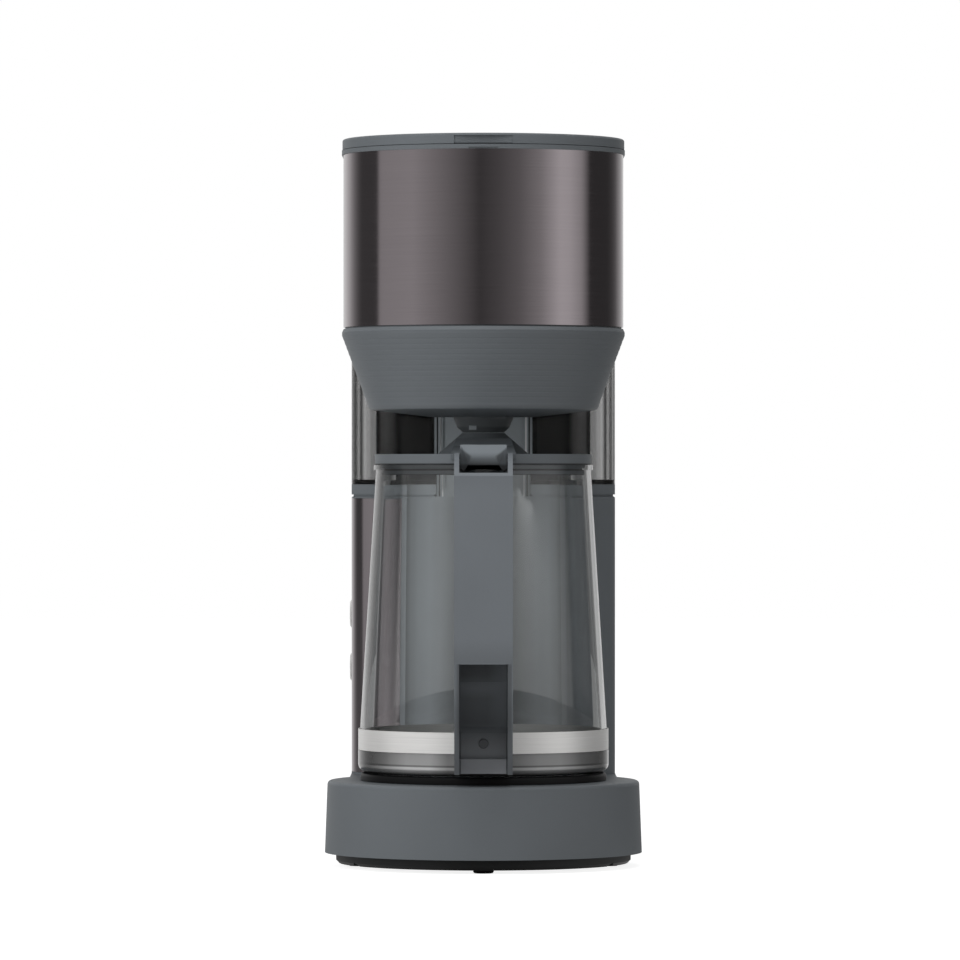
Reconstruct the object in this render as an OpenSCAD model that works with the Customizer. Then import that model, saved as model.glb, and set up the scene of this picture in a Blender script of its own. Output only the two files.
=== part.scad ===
// Drip coffee maker with a glass jug, a round brew head and a U-shaped water tank behind it.
// Millimetres, +Z up, the jug's handle towards -Y, the control panel on the -X side.
// The origin lies on the table, under the middle of the machine's outline.
// Every module is drawn about the jug's upright axis and then set in place by on_axis().

/* [Base] */
// Radius of the round base at its top edge
base_r = 80; // [78:0.5:84]
// How much wider the base is at its foot than at its top
base_flare = 1.3; // [0.6:0.1:2]
// Height of the base housing
base_h = 36.8; // [32:0.4:42]
// Wall of the base housing
base_wall = 2.5; // [2:0.1:3]
// Rounding of the base's top edge
base_edge = 2; // [1:0.25:3]
// Thickness of the black bottom cover
cover_h = 5.4; // [4.6:0.2:7]
// How far the bottom cover stands back from the base's foot
cover_inset = 5.7; // [4:0.1:7]
// Gap between the bottom cover and the table
foot_gap = 1.8; // [1.4:0.1:3]
// Radius of a rubber foot
foot_r = 5.2; // [4:0.1:6]
// Radius of the circle that the three front feet stand on
foot_ring_r = 64; // [60:0.5:66]

/* [Warming plate] */
// Radius of the warming plate
hot_r = 63; // [61:0.5:65]
// Height of the warming plate above the base
hot_rise = 4; // [3.4:0.1:5]
// Sheet thickness of the warming plate
hot_t = 1.5; // [1.2:0.1:2]

/* [Tower] */
// Half of the width of the tower and the tank
tower_half_w = 69.2; // [68:0.2:71]
// Height of the lower tower
tower_h = 145.3; // [140:0.5:150]
// Radius of the tower's front corners
tower_corner_r = 23.2; // [22:0.2:25]
// Radius of the tower's rear corners
tower_back_r = 26; // [24:0.5:30]
// Distance from the jug's axis to the tower's back
tower_back = 134; // [130:0.5:140]
// Wall of the tower housing
tower_wall = 2.5; // [2.2:0.1:3]

/* [Control panel] */
// Thickness of the steel panel sheet
panel_t = 0.8; // [0.6:0.1:1]
// Distance from the panel to the top and the foot of the tower
panel_margin = 1; // [1:0.25:4]
// Radius of a push button
button_r = 7.1; // [6:0.1:8]
// How far a button stands out of the panel
button_proud = 1; // [0.8:0.1:2]
// Travel of a button
button_travel = 1.2; // [0.8:0.1:1.6]
// Height of the upper button above the base
button_z = 83.5; // [75:0.5:95]
// Distance between the two buttons
button_pitch = 28; // [24:0.5:32]
// Distance from the jug's axis to the buttons, front to back
button_y = 92; // [91:0.25:94]

/* [Water tank] */
// Wall of the water tank
tank_wall = 2.2; // [1.8:0.1:2.6]
// Thickness of the tank's floor
tank_floor = 2.5; // [2:0.1:3]
// Height of the collar that carries the tank
collar_h = 6.3; // [5:0.1:8]
// Half of the width of the opaque panel on the tank's back
back_half_w = 57.7; // [52:0.1:60]
// Thickness of the opaque panel on the tank's back
back_t = 0.9; // [0.7:0.1:1]

/* [Spine] */
// Half of the width of the spine between the tank's arms
spine_half_w = 25.6; // [24:0.2:27]
// Depth of the spine behind the niche
spine_depth = 20; // [18:0.5:22]
// Wall of the spine
spine_wall = 2.4; // [2:0.1:3]

/* [Brew head] */
// Height of the ribbed filter housing
cone_h = 42.2; // [40:0.2:46]
// Outer radius of the filter housing at its top
cone_r = 72.5; // [71.5:0.1:74]
// Outer radius of the filter housing at its foot
cone_foot_r = 59.5; // [57:0.25:62]
// Wall of the filter housing
cone_t = 3; // [2.4:0.1:3.6]
// Number of fine ring grooves round the filter housing
groove_n = 12; // [6:1:16]
// Height of the steel drum
drum_h = 88.7; // [84:0.3:93]
// Outer radius of the steel drum
drum_r = 71.8; // [71:0.1:72.2]
// Sheet thickness of the steel drum
drum_t = 0.8; // [0.6:0.1:1]
// Wall of the liner inside the drum
liner_t = 2.6; // [2.2:0.1:3]
// Half of the width of the rim that closes the head and the tank
rim_half_w = 72.6; // [72:0.1:74]
// Thickness of the rim
rim_h = 2.3; // [2:0.1:3]
// Overall thickness of the head's lid
lid_h = 5.3; // [5:0.1:6]
// Thickness of the lid's top
lid_t = 2.2; // [1.8:0.1:2.4]
// How far the lid's edge stands back from the rim's edge
lid_inset = 0.3; // [0.2:0.1:1]
// Width of the finger grip in the lid's front
grip_notch_w = 29.5; // [24:0.5:34]

/* [Brew basket] */
// Height of the basket's rim above the seam under the drum
basket_rim_z = 74.2; // [70:0.2:78]
// Radius of the basket's floor
basket_floor_r = 38; // [34:0.5:42]
// Wall of the basket
basket_t = 1.8; // [1.5:0.1:2.2]
// Number of upright ribs inside the basket
basket_rib_n = 12; // [8:1:16]

/* [Drip stop] */
// Radius of the nozzle under the filter housing
nozzle_r = 15.1; // [14:0.1:16]
// Radius of the nozzle at its foot
nozzle_foot_r = 10.5; // [10:0.1:11.5]
// Length of the nozzle below the filter housing
nozzle_drop = 8; // [7:0.1:9]
// Radius of the valve's stem
stem_r = 3.4; // [3:0.1:3.8]
// Travel of the valve
valve_travel = 4; // [3:0.1:4.4]

/* [Jug] */
// Outer radius of the glass at its foot
glass_foot_r = 64.2; // [63:0.1:65]
// Outer radius of the glass above the steel band
glass_belly_r = 63.2; // [62:0.1:63.9]
// Outer radius of the glass at its neck
glass_neck_r = 55.3; // [54:0.1:57]
// Height of the glass
glass_h = 157.3; // [150:0.1:165]
// Wall of the glass
glass_t = 2.7; // [2.2:0.1:3.2]
// Thickness of the glass floor
glass_floor = 3.4; // [2.8:0.1:4.4]
// Height of the steel band above the foot of the glass
band_z = 11.6; // [10.5:0.1:13]
// Width of the steel band
band_w = 10.7; // [9:0.1:12]
// Thickness of the steel band
band_t = 0.7; // [0.5:0.1:0.8]
// Outer radius of the jug's lid
jug_lid_r = 55.7; // [54.5:0.1:56.5]
// Thickness of the edge of the jug's lid
jug_lid_h = 5.2; // [4.6:0.1:6]
// Radius of the dome on the jug's lid at its foot
dome_r = 23.4; // [22:0.2:25]
// Radius of the dome's flat top
dome_top_r = 10.9; // [10:0.1:12]
// Height of the dome above the edge of the jug's lid
dome_h = 10.9; // [9.5:0.1:12]

/* [Handle] */
// Distance from the jug's axis to the front of the grip
grip_reach = 110; // [104:0.5:116]
// Depth of the grip, front to back
grip_depth = 20; // [18:0.5:22]
// Width of the handle
handle_w = 29.2; // [27:0.2:32]
// Side wall of the handle
handle_wall = 2.5; // [2:0.1:3]
// Height of the open foot of the grip above the foot of the glass
grip_open_z = 58; // [54:0.5:62]
// Depth of the recess under the thumb lever below the mouth of the glass
recess_drop = 4.1; // [3.6:0.1:6]

/* [Hidden] */
$fn = 96;

// Clearances
fit = 0.3;      // gap between pieces that seat in or move past each other
slip = 0.15;    // gap between nested sheets of one assembly
run = 0.05;     // radial gap of a hinge pin in its bore
over = 1;       // overrun of every cut

// Levels, from the table up
z_cover = foot_gap;
z_base = z_cover + cover_h;
z_deck = z_base + base_h;
z_hot = z_deck + hot_rise;
z_jug = z_hot + fit;
z_mouth = z_jug + glass_h;
jug_lid_z = z_mouth + fit;
z_nozzle = jug_lid_z + jug_lid_h + dome_h + fit;
cone_dip = 3.3;
z_cone = z_nozzle + nozzle_drop + cone_dip;
z_tower = z_deck + tower_h;
z_tank = z_tower + collar_h;
z_seam = z_cone + cone_h;
z_rim = z_seam + drum_h;
z_lid = z_rim + rim_h + fit;
z_top = z_lid + lid_h;

// Plan of the tower, the tank and the head
niche_r = cone_r + fit;
tower_land = 3.2;
tower_edge = 1;
tower_front = sqrt(pow(niche_r, 2) - pow(tower_half_w - tower_corner_r - tower_land, 2));
spine_back = niche_r + spine_depth;
rim_back = tower_back + rim_half_w - tower_half_w;
rim_back_r = tower_back_r + rim_half_w - tower_half_w;
axis_y = (grip_reach - rim_back) / 2;

// Base details
foot_seat = 1.2;
foot_chamfer = 0.6;
cover_edge = 1.6;
rear_foot_x = tower_half_w - tower_back_r + foot_r;
rear_foot_y = tower_back - tower_back_r + foot_r;
screw_r = 1.5;
screw_head_r = 3;
screw_head_h = 1.8;
screw_grip = 9;
boss_r = 4;
screw_ring_r = base_r - base_wall - boss_r - 4 * fit;
rear_screw_x = tower_half_w - base_wall - boss_r - 4 * fit;
rear_screw_y = tower_back - tower_back_r - boss_r;
front_screw_angles = [-150, -30, 145, 35];
vent_n = 7;
vent_w = 2.4;
vent_l = 30;
vent_pitch = 6;
deck_lip = 3;
deck_hole_r = hot_r - deck_lip;
deck_rib_h = 3;
deck_rib_t = 2;
outlet_r = 8;
outlet_bore_r = 3.8;
outlet_lip = 2;
outlet_x = 34;
outlet_z = z_base + base_h / 2;

// Water path
tube_r = 4.5;
tube_bore_r = 3;
hose_wall = 2;
hose_r = tube_r + slip + hose_wall;
heater_r = 42;
heater_w = 11;
heater_h = 8;
heater_sweep = 325;
heater_end_angle = 90 - (360 - heater_sweep);
cold_x = heater_r * cos(heater_end_angle);
heater_top = z_hot - hot_t;
stub_end_y = 58;
valve_l = 16;
valve_r = 7;
pipe_z = z_deck - base_wall - deck_rib_h - valve_r - fit;
elbow_r = 10;
riser_y = niche_r + spine_depth / 2;
cold_gap = 13;
cold_y = spine_back + cold_gap;
spigot_tail = 5;
spigot_l = collar_h + tower_wall + spigot_tail;
riser_drop = 6;
riser_top = z_rim - riser_drop;
seal_t = 2.2;
seal_h = 5;

// Tower details
rear_cover_side = 4;
rear_cover_half_w = tower_half_w - tower_back_r - rear_cover_side;
rear_cover_margin = 12;
rear_cover_lip = 5;
riser_gap = 1.5;
riser_hole_r = tube_r + riser_gap;
spigot_hole_r = hose_r + fit;
panel_edge = 2;
panel_back = tower_back - tower_back_r - panel_edge;
button_hole_r = button_r + fit;
button_flange = 1.6;
button_flange_t = 1.4;
button_dome = 0.5;
button_post_r = 2.2;
board_gap = 9;
board_t = 1.6;
board_w = 26;
board_margin = 17;
board_h = button_pitch + 2 * board_margin;
board_post_r = 3;
switch_r = 5;
switch_h = 5;
button_zs = [z_deck + button_z, z_deck + button_z - button_pitch];
board_x = tower_half_w - tower_wall - board_gap;
board_mid_z = z_deck + button_z - button_pitch / 2;

// Spine details
spine_frame = 3;
spine_step = 1.6;
spine_recess = 0.5;

// Head details
cone_lip = 4;
cone_round = 3.4;
cone_dip_r = 28;
cone_bevel = 0.8;
cone_bevel_h = 1.8;
seam_gap = 0.5;
groove_d = 0.15;
groove_w_share = 0.45;
lug_half_w = 18;
nozzle_bore_r = nozzle_r + slip;
drum_r_in = drum_r - drum_t;
liner_r = drum_r_in - slip;
liner_r_in = liner_r - liner_t;
duct_w = 16;
duct_h = 10;
duct_wall = 2;
duct_gap = 1.5;
ledge_w = 3.6;
ledge_h = 2;
z_basket_rim = z_seam + basket_rim_z;
basket_flange_t = 2;
basket_flange_r = liner_r_in - 2 * fit;
basket_wall_r = liner_r_in - ledge_w - fit;
basket_lift = 12.4;
z_basket_floor = z_cone + basket_lift;
basket_hole_r = 7;
basket_skirt_h = 6;
basket_rib_d = 2.4;
basket_rib_t = 1.4;
rim_hole_r = liner_r_in;
lid_edge = 1.2;
lid_skirt = 2.4;
lid_rib_t = 1.6;
lid_rib_h = 1.6;
lid_half_w = rim_half_w - lid_inset;
lid_back = rim_back - lid_inset;
lid_back_r = rim_back_r - lid_inset;
notch_d = 1;
notch_h = 0.3;
hinge_y = lid_back - lid_h / 2;
hinge_z = z_lid + lid_h / 2;
hinge_x = 30;
ear_w = 5;
lid_pin_r = 1.25;
lid_pin_l = 22;
shower_r = 28;
shower_h = 16;
shower_wall = 2;
spray_hole_r = 1.1;
spray_rings = [[6, 9], [12, 18]];

// Drip stop details
nozzle_shoulder = 6.9;
nozzle_waist = 2.6;
nozzle_waist_r = 13.4;
nozzle_flange_t = 2;
nozzle_flange_w = 3;
nozzle_wall = 2.4;
chamber_r = 8;
seat_rise = 4;
seat_z = z_nozzle + seat_rise;
seat_t = 1.8;
seat_gap = 1.2;
seat_bore_r = stem_r + seat_gap;
window_w = 3.8;
window_h = 2.3;
window_x = 5.5;
window_rise = 1.3;
washer_t = 1.2;
washer_grip = 2.4;
washer_r = seat_bore_r + washer_grip;
disc_t = 1.6;
z_disc = seat_z + seat_t + fit + washer_t + valve_travel;
spring_r = 5;
spring_wire_r = 0.5;
spring_turns = 4;
cage_gap = 3;
z_cage = z_basket_floor - basket_t - cage_gap;
cage_t = 1.6;
cage_r = nozzle_r - 2 * fit;
cage_leg_t = 2;
cage_bar_w = 2.4;

// Jug details
glass_round = 4.4;
glass_inner_round = 6;
bead_h = 2.6;
bead_out = 1;
neck_h = 3.6;
band_r = glass_belly_r + fit + band_t;
groove_depth = slip;
spout_r = 13;
spout_wall = 2.2;
spout_out = 4.5;
spout_h = 16;
plug_r = glass_neck_r - glass_t - fit;
plug_h = 5.4;
plug_step = 0.4;
plug_groove = 1.6;
plug_groove_h = 0.6;
dome_t = 2;
dome_rim = 2.9;
dome_well_r = dome_top_r - dome_rim;
pusher_r = 2.8;
pusher_rib_t = 1.8;
bridge_half_w = 16.5;
bridge_top_half_w = 14;
bridge_h = 8;
pour_notch_w = 20;

// Handle details
handle_z0 = 2;
plate_t = 3;
plate_ledge = 3.6;
ledge_top = 9.4;
web_t = 3;
grip_round = 26;
grip_inner_round = 10;
foot_reach = 84;
foot_turn_z = 50;
foot_turn = 35;
arm_rise = 5.9;
arm_top_z = glass_h + arm_rise;
arm_depth = 22.2;
arm_low_z = arm_top_z - arm_depth;
recess_z = glass_h - recess_drop;
web_low = [68, 27];
prong_gap = 0.35;
lever_half_w = handle_w / 2 - handle_wall - prong_gap;
hinge_reach = 61.6;
hinge_rise = 1.3;
jug_hinge_z = glass_h + hinge_rise;
jug_pin_r = 1.5;
barrel_r = 3.6;
lever_rise = 10.1;
lever_top = glass_h + lever_rise;
lever_reach = 92;
lever_dip = 2;
lever_foot_z = glass_h - lever_dip;
lever_tip = 1;
lever_bend = 80;
lever_t = 3;
scoop_half_w = lever_half_w - 2 * fit;
scoop_foot_half_w = 5;
scoop_depth = 5.6;
band_screw_z = band_z + band_w / 2;
band_screw_r = 2.5;

function corner_xs(half_w, r) = half_w > r ? [r - half_w, half_w - r] : [0];
function arc(c, r, a0, a1, n = 8) = [for (i = [0 : n]) let (a = a0 + (a1 - a0) * i / n) c + r * [cos(a), sin(a)]];

module on_axis() {
    translate([0, axis_y, 0]) children();
}

module ring(r_out, r_in, h) {
    difference() {
        cylinder(h = h, r = r_out);
        translate([0, 0, -over]) cylinder(h = h + 2 * over, r = r_in);
    }
}

// Plan with four rounded corners
module rounded_plan(half_w, y0, y1, front_r, back_r) {
    mid = (y0 + front_r + y1 - back_r) / 2;
    translate([-half_w, y0 + front_r]) square([2 * half_w, y1 - back_r - y0 - front_r]);
    if (half_w > front_r) {
        translate([front_r - half_w, y0]) square([2 * (half_w - front_r), mid - y0]);
    }
    translate([back_r - half_w, mid]) square([2 * (half_w - back_r), y1 - mid]);
    for (x = corner_xs(half_w, front_r)) translate([x, y0 + front_r]) circle(front_r);
    for (x = corner_xs(half_w, back_r)) translate([x, y1 - back_r]) circle(back_r);
}

// Plan of the tower and the tank, with the niche for the head and the jug
module tower_plan(inset = 0) {
    difference() {
        rounded_plan(tower_half_w - inset, tower_front + inset, tower_back - inset,
            tower_corner_r - inset, tower_back_r - inset);
        circle(niche_r + inset);
    }
}

// The slot between the tank's arms that the spine stands in
module spine_slot(gap) {
    translate([-spine_half_w - gap, 0]) square([2 * (spine_half_w + gap), spine_back + gap]);
}

module tank_plan(inset = 0) {
    difference() {
        tower_plan(inset);
        spine_slot(fit + inset);
    }
}

// Cross-section with a rounded edge at the top of both sides
module rounded_top(half_w, h, edge) {
    translate([-half_w, 0]) square([2 * half_w, h - edge]);
    translate([edge - half_w, 0]) square([2 * (half_w - edge), h]);
    for (s = [-1, 1]) translate([s * (half_w - edge), h - edge]) circle(edge);
}

module puck(r, h, edge) {
    rotate_extrude() intersection() {
        rounded_top(r, h, edge);
        square([r, h]);
    }
}

// Slab on a plan with rounded corners and a rounded top edge
module slab(half_w, y0, y1, front_r, back_r, h, edge) {
    translate([0, y1 - back_r, 0]) rotate([90, 0, 0]) {
        linear_extrude(y1 - back_r - y0 - front_r) rounded_top(half_w, h, edge);
    }
    for (x = corner_xs(half_w, front_r)) translate([x, y0 + front_r, 0]) puck(front_r, h, edge);
    for (x = corner_xs(half_w, back_r)) translate([x, y1 - back_r, 0]) puck(back_r, h, edge);
    if (half_w > front_r) slab_end(half_w - front_r, y0 + front_r, front_r, h, edge);
    if (half_w > back_r) slab_end(half_w - back_r, y1 - back_r, back_r, h, edge);
}

module slab_end(half_l, y, r, h, edge) {
    translate([-half_l, y, 0]) rotate([90, 0, 90]) linear_extrude(2 * half_l) rounded_top(r, h, edge);
}

// Tube of round section along +Z
module tube(h, r, bore) {
    difference() {
        cylinder(h = h, r = r);
        translate([0, 0, -over]) cylinder(h = h + 2 * over, r = bore);
    }
}

// Quarter bend that starts along +Z at the origin and ends along -Y
module bend(r, tube_r, bore) {
    translate([0, -r, 0]) rotate([90, 0, 90]) rotate_extrude(angle = 90) {
        translate([r, 0]) difference() {
            circle(tube_r);
            circle(bore);
        }
    }
}

// Pan-head screw with its head at the origin and its shank along +Z
module screw(r, head_r, head_h, l) {
    slot = head_h / 3;
    difference() {
        cylinder(h = head_h, r1 = head_r - slot, r2 = head_r);
        for (a = [0, 90]) rotate([0, 0, a]) {
            translate([-head_r / 2, -slot / 2, -over]) cube([head_r, slot, over + slot]);
        }
    }
    translate([0, 0, head_h]) cylinder(h = l, r = r);
}

// Foot, screw and boss places on the base
module at_feet() {
    for (a = [-180, -90, 0]) rotate([0, 0, a]) translate([foot_ring_r, 0, 0]) children();
    for (s = [-1, 1]) translate([s * rear_foot_x, rear_foot_y, 0]) children();
}

module at_base_screws() {
    for (a = front_screw_angles) rotate([0, 0, a]) translate([screw_ring_r, 0, 0]) children();
    for (s = [-1, 1]) translate([s * rear_screw_x, rear_screw_y, 0]) children();
}

module feet() {
    color([0.07, 0.07, 0.07]) on_axis() at_feet() {
        cylinder(h = foot_chamfer, r1 = foot_r - foot_chamfer, r2 = foot_r);
        translate([0, 0, foot_chamfer]) cylinder(h = foot_gap + foot_seat - foot_chamfer, r = foot_r);
    }
}

// Outline of the base behind the round part
module base_rear_plan(inset) {
    rounded_plan(tower_half_w - inset, inset, tower_back - inset, tower_corner_r, tower_back_r - inset);
}

module base_cover() {
    r = base_r + base_flare - cover_inset;
    color([0.09, 0.09, 0.1]) on_axis() difference() {
        union() {
            translate([0, 0, z_cover]) cylinder(h = cover_edge, r1 = r - cover_edge, r2 = r);
            translate([0, 0, z_cover + cover_edge]) cylinder(h = cover_h - cover_edge, r = r);
            translate([0, 0, z_cover]) {
                linear_extrude(cover_edge) base_rear_plan(cover_inset + cover_edge);
            }
            translate([0, 0, z_cover + cover_edge]) {
                linear_extrude(cover_h - cover_edge) base_rear_plan(cover_inset);
            }
        }
        at_feet() translate([0, 0, z_cover - over]) cylinder(h = over + foot_seat, r = foot_r + slip);
        at_base_screws() {
            translate([0, 0, z_cover - over]) cylinder(h = over + 2 * screw_head_h, r = screw_head_r + fit);
            translate([0, 0, z_cover]) cylinder(h = cover_h + over, r = screw_r + fit);
        }
        for (i = [0 : vent_n - 1]) {
            translate([(i - (vent_n - 1) / 2) * vent_pitch - vent_w / 2, -vent_l / 2, z_cover - over]) {
                cube([vent_w, vent_l, cover_h + 2 * over]);
            }
        }
    }
}

module base_screws() {
    color([0.7, 0.7, 0.7]) on_axis() at_base_screws() {
        translate([0, 0, z_cover + screw_head_h]) screw(screw_r, screw_head_r, screw_head_h, screw_grip);
    }
}

module base_housing() {
    cavity_h = base_h - base_wall;
    color([0.36, 0.39, 0.4]) on_axis() difference() {
        union() {
            difference() {
                union() {
                    translate([0, 0, z_base]) rotate_extrude() base_section();
                    translate([0, 0, z_base]) linear_extrude(base_h) base_rear_plan(0);
                }
                translate([0, 0, z_base - over]) {
                    cylinder(h = cavity_h + over, r = base_r - base_wall);
                    linear_extrude(cavity_h + over) base_rear_plan(base_wall);
                }
            }
            at_base_screws() translate([0, 0, z_base]) cylinder(h = cavity_h + over / 2, r = boss_r);
            translate([0, 0, z_deck - base_wall - deck_rib_h]) {
                ring(deck_hole_r + deck_rib_t, deck_hole_r, deck_rib_h + base_wall / 2);
            }
        }
        translate([0, 0, z_deck - base_wall - over]) cylinder(h = base_wall + 2 * over, r = deck_hole_r);
        translate([0, 0, z_deck - base_wall - over]) {
            linear_extrude(base_wall + 2 * over) tower_plan(2 * tower_wall);
        }
        at_base_screws() translate([0, 0, z_base - over]) cylinder(h = screw_grip + over, r = screw_r + slip);
        translate([outlet_x, tower_back, outlet_z]) rotate([90, 0, 0]) {
            translate([0, 0, -over]) cylinder(h = base_wall + 2 * over, r = outlet_r - outlet_lip + slip);
        }
    }
}

// Half section of the round part of the base housing
module base_section() {
    foot_r_out = base_r + base_flare;
    polygon([[0, 0], [foot_r_out, 0], [base_r, base_h - base_edge], [base_r - base_edge, base_h], [0, base_h]]);
    translate([base_r - base_edge, base_h - base_edge]) circle(base_edge);
}

module cord_outlet() {
    color([0.08, 0.08, 0.08]) on_axis() translate([outlet_x, tower_back, outlet_z]) rotate([90, 0, 0]) {
        difference() {
            union() {
                translate([0, 0, -outlet_lip]) cylinder(h = outlet_lip, r1 = outlet_r - outlet_lip, r2 = outlet_r);
                cylinder(h = base_wall + outlet_lip, r = outlet_r - outlet_lip);
            }
            translate([0, 0, -outlet_lip - over]) {
                cylinder(h = base_wall + 2 * (outlet_lip + over), r = outlet_bore_r);
            }
        }
    }
}

module warming_plate() {
    skirt_h = hot_rise - fit;
    color([0.05, 0.05, 0.055]) on_axis() translate([0, 0, z_hot - skirt_h]) difference() {
        rotate_extrude() intersection() {
            rounded_top(hot_r, skirt_h, hot_t);
            square([hot_r, skirt_h]);
        }
        translate([0, 0, -over]) cylinder(h = skirt_h - hot_t + over, r = hot_r - hot_t);
    }
}

module plate_seal() {
    color([0.2, 0.2, 0.2]) on_axis() translate([0, 0, z_deck]) {
        ring(hot_r - hot_t - slip, deck_hole_r, hot_rise - hot_t);
    }
}

module heating_element() {
    color([0.72, 0.72, 0.72]) on_axis() difference() {
        union() {
            translate([0, 0, heater_top - heater_h]) rotate([0, 0, 90]) rotate_extrude(angle = heater_sweep) {
                translate([heater_r - heater_w / 2, 0]) square([heater_w, heater_h]);
            }
            heater_stub(0, heater_r, tube_r);
            heater_stub(cold_x, heater_r * sin(heater_end_angle), tube_r);
        }
        heater_stub(0, heater_r, tube_bore_r);
        heater_stub(cold_x, heater_r * sin(heater_end_angle), tube_bore_r);
    }
}

// Pipe end that drops from the heating element and turns towards the tower
module heater_stub(x, y, r) {
    grow = r < tube_r ? over : 0;
    translate([x, y, pipe_z]) {
        cylinder(h = heater_top - heater_h / 2 - pipe_z, r = r);
        sphere(r);
    }
    translate([x, stub_end_y + grow, pipe_z]) rotate([90, 0, 0]) cylinder(h = stub_end_y + grow - y, r = r);
}

module check_valve() {
    color([0.85, 0.85, 0.8]) on_axis() translate([cold_x, stub_end_y + valve_l, pipe_z]) rotate([90, 0, 0]) {
        difference() {
            union() {
                cylinder(h = valve_l, r = valve_r);
                translate([0, 0, -valve_l / 2]) cylinder(h = valve_l, r = tube_r);
            }
            translate([0, 0, -valve_l]) cylinder(h = 2 * valve_l + over, r = tube_bore_r);
        }
    }
}

module thermostats() {
    color([0.8, 0.78, 0.72]) on_axis() for (s = [-1, 1]) {
        translate([s * heater_r, 0, heater_top - heater_h]) mirror([0, 0, 1]) {
            cylinder(h = heater_h, r = heater_w / 2);
            translate([0, 0, heater_h]) cylinder(h = heater_h / 4, r = heater_w / 3);
        }
    }
}

module tower_housing() {
    inner = z_tower - tower_wall;
    color([0.38, 0.41, 0.42]) on_axis() difference() {
        union() {
            difference() {
                translate([0, 0, z_deck]) slab(tower_half_w, tower_front, tower_back,
                    tower_corner_r, tower_back_r, tower_h, tower_edge);
                translate([0, 0, z_deck - over]) cylinder(h = tower_h + 2 * over, r = niche_r);
                translate([0, 0, z_deck - over]) linear_extrude(inner - z_deck + over) tower_plan(tower_wall);
            }
            for (s = [-1, 1]) translate([tower_wall / 2 - tower_half_w, button_y, board_mid_z]) {
                translate([0, 0, s * (board_h / 2 - board_post_r)]) rotate([0, 90, 0]) {
                    cylinder(h = board_gap + tower_wall / 2, r = board_post_r);
                }
            }
        }
        panel_shape(slip, panel_t);
        for (z = button_zs) translate([-tower_half_w - over, button_y, z]) rotate([0, 90, 0]) {
            cylinder(h = tower_wall + 2 * over, r = button_hole_r);
        }
        translate([0, riser_y, inner - over]) cylinder(h = tower_wall + 2 * over, r = riser_hole_r);
        translate([cold_x, cold_y, inner - over]) cylinder(h = tower_wall + 2 * over, r = spigot_hole_r);
        rear_opening(-fit, over);
        translate([0, -tower_wall / 2 - over, 0]) rear_opening(rear_cover_lip, over);
        at_rear_screws() translate([0, 0, -over]) cylinder(h = tower_wall + 2 * over, r = screw_r + slip);
    }
}

// Opening in the tower's back, smaller by the stated inset and half a wall deep plus the overrun
module rear_opening(inset, grow) {
    z0 = z_deck + rear_cover_margin + inset;
    translate([-rear_cover_half_w + inset, tower_back - tower_wall / 2, z0]) {
        cube([2 * (rear_cover_half_w - inset), tower_wall / 2 + grow, tower_h - 2 * (rear_cover_margin + inset)]);
    }
}

// Places of the rear cover's screws, looking in from behind
module at_rear_screws() {
    x = rear_cover_half_w - rear_cover_lip / 2;
    z0 = z_deck + rear_cover_margin + rear_cover_lip / 2;
    h = tower_h - 2 * rear_cover_margin - rear_cover_lip;
    for (s = [-1, 1], t = [0, 1]) {
        translate([s * x, tower_back, z0 + t * h]) rotate([90, 0, 0]) children();
    }
}

module rear_cover() {
    color([0.35, 0.38, 0.39]) on_axis() difference() {
        rear_opening(0, 0);
        at_rear_screws() translate([0, 0, -over]) cylinder(h = tower_wall + 2 * over, r = screw_r + slip);
    }
}

module rear_screws() {
    color([0.12, 0.12, 0.12]) on_axis() at_rear_screws() {
        translate([0, 0, -screw_head_h / 2]) {
            cylinder(h = screw_head_h / 2, r = screw_head_r / 2 + screw_r / 2);
            cylinder(h = tower_wall + screw_head_h, r = screw_r);
        }
    }
}

// The sheet that wraps the tower's left front corner
module panel_shape(gap, t) {
    z0 = z_deck + panel_margin - gap;
    translate([0, 0, z0]) linear_extrude(tower_h - 2 * (panel_margin - gap)) intersection() {
        difference() {
            rounded_plan(tower_half_w + (gap > 0 ? over : 0), tower_front - (gap > 0 ? over : 0), tower_back,
                tower_corner_r, tower_back_r);
            rounded_plan(tower_half_w - t, tower_front + t, tower_back - t, tower_corner_r - t, tower_back_r - t);
        }
        translate([-tower_half_w - over, tower_front - over]) {
            square([tower_corner_r + over + gap, panel_back - tower_front + over + gap]);
        }
    }
}

module control_panel() {
    color([0.24, 0.22, 0.22]) on_axis() difference() {
        panel_shape(0, panel_t);
        for (z = button_zs) translate([-tower_half_w - over, button_y, z]) rotate([0, 90, 0]) {
            cylinder(h = tower_wall + 2 * over, r = button_hole_r);
        }
    }
}

// Push button with a domed face, a flange behind the wall and a post towards its switch
module button(z) {
    shank = button_proud + tower_wall + slip;
    post = board_gap - slip - button_flange_t - switch_h / 2;
    on_axis() translate([-tower_half_w - button_proud, button_y, z]) rotate([0, 90, 0]) {
        cylinder(h = button_dome, r1 = button_r - 2 * button_dome, r2 = button_r);
        translate([0, 0, button_dome]) cylinder(h = shank - button_dome, r = button_r);
        translate([0, 0, shank]) cylinder(h = button_flange_t, r = button_r + button_flange);
        translate([0, 0, shank + button_flange_t]) cylinder(h = post - button_travel, r = button_post_r);
    }
}

module power_button() {
    color([0.78, 0.78, 0.78]) button(button_zs[0]);
}

module aroma_button() {
    color([0.78, 0.78, 0.78]) button(button_zs[1]);
}

module switch_board() {
    color([0.1, 0.3, 0.16]) on_axis() translate([-board_x, button_y - board_w / 2, board_mid_z - board_h / 2]) {
        cube([board_t, board_w, board_h]);
    }
}

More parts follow.
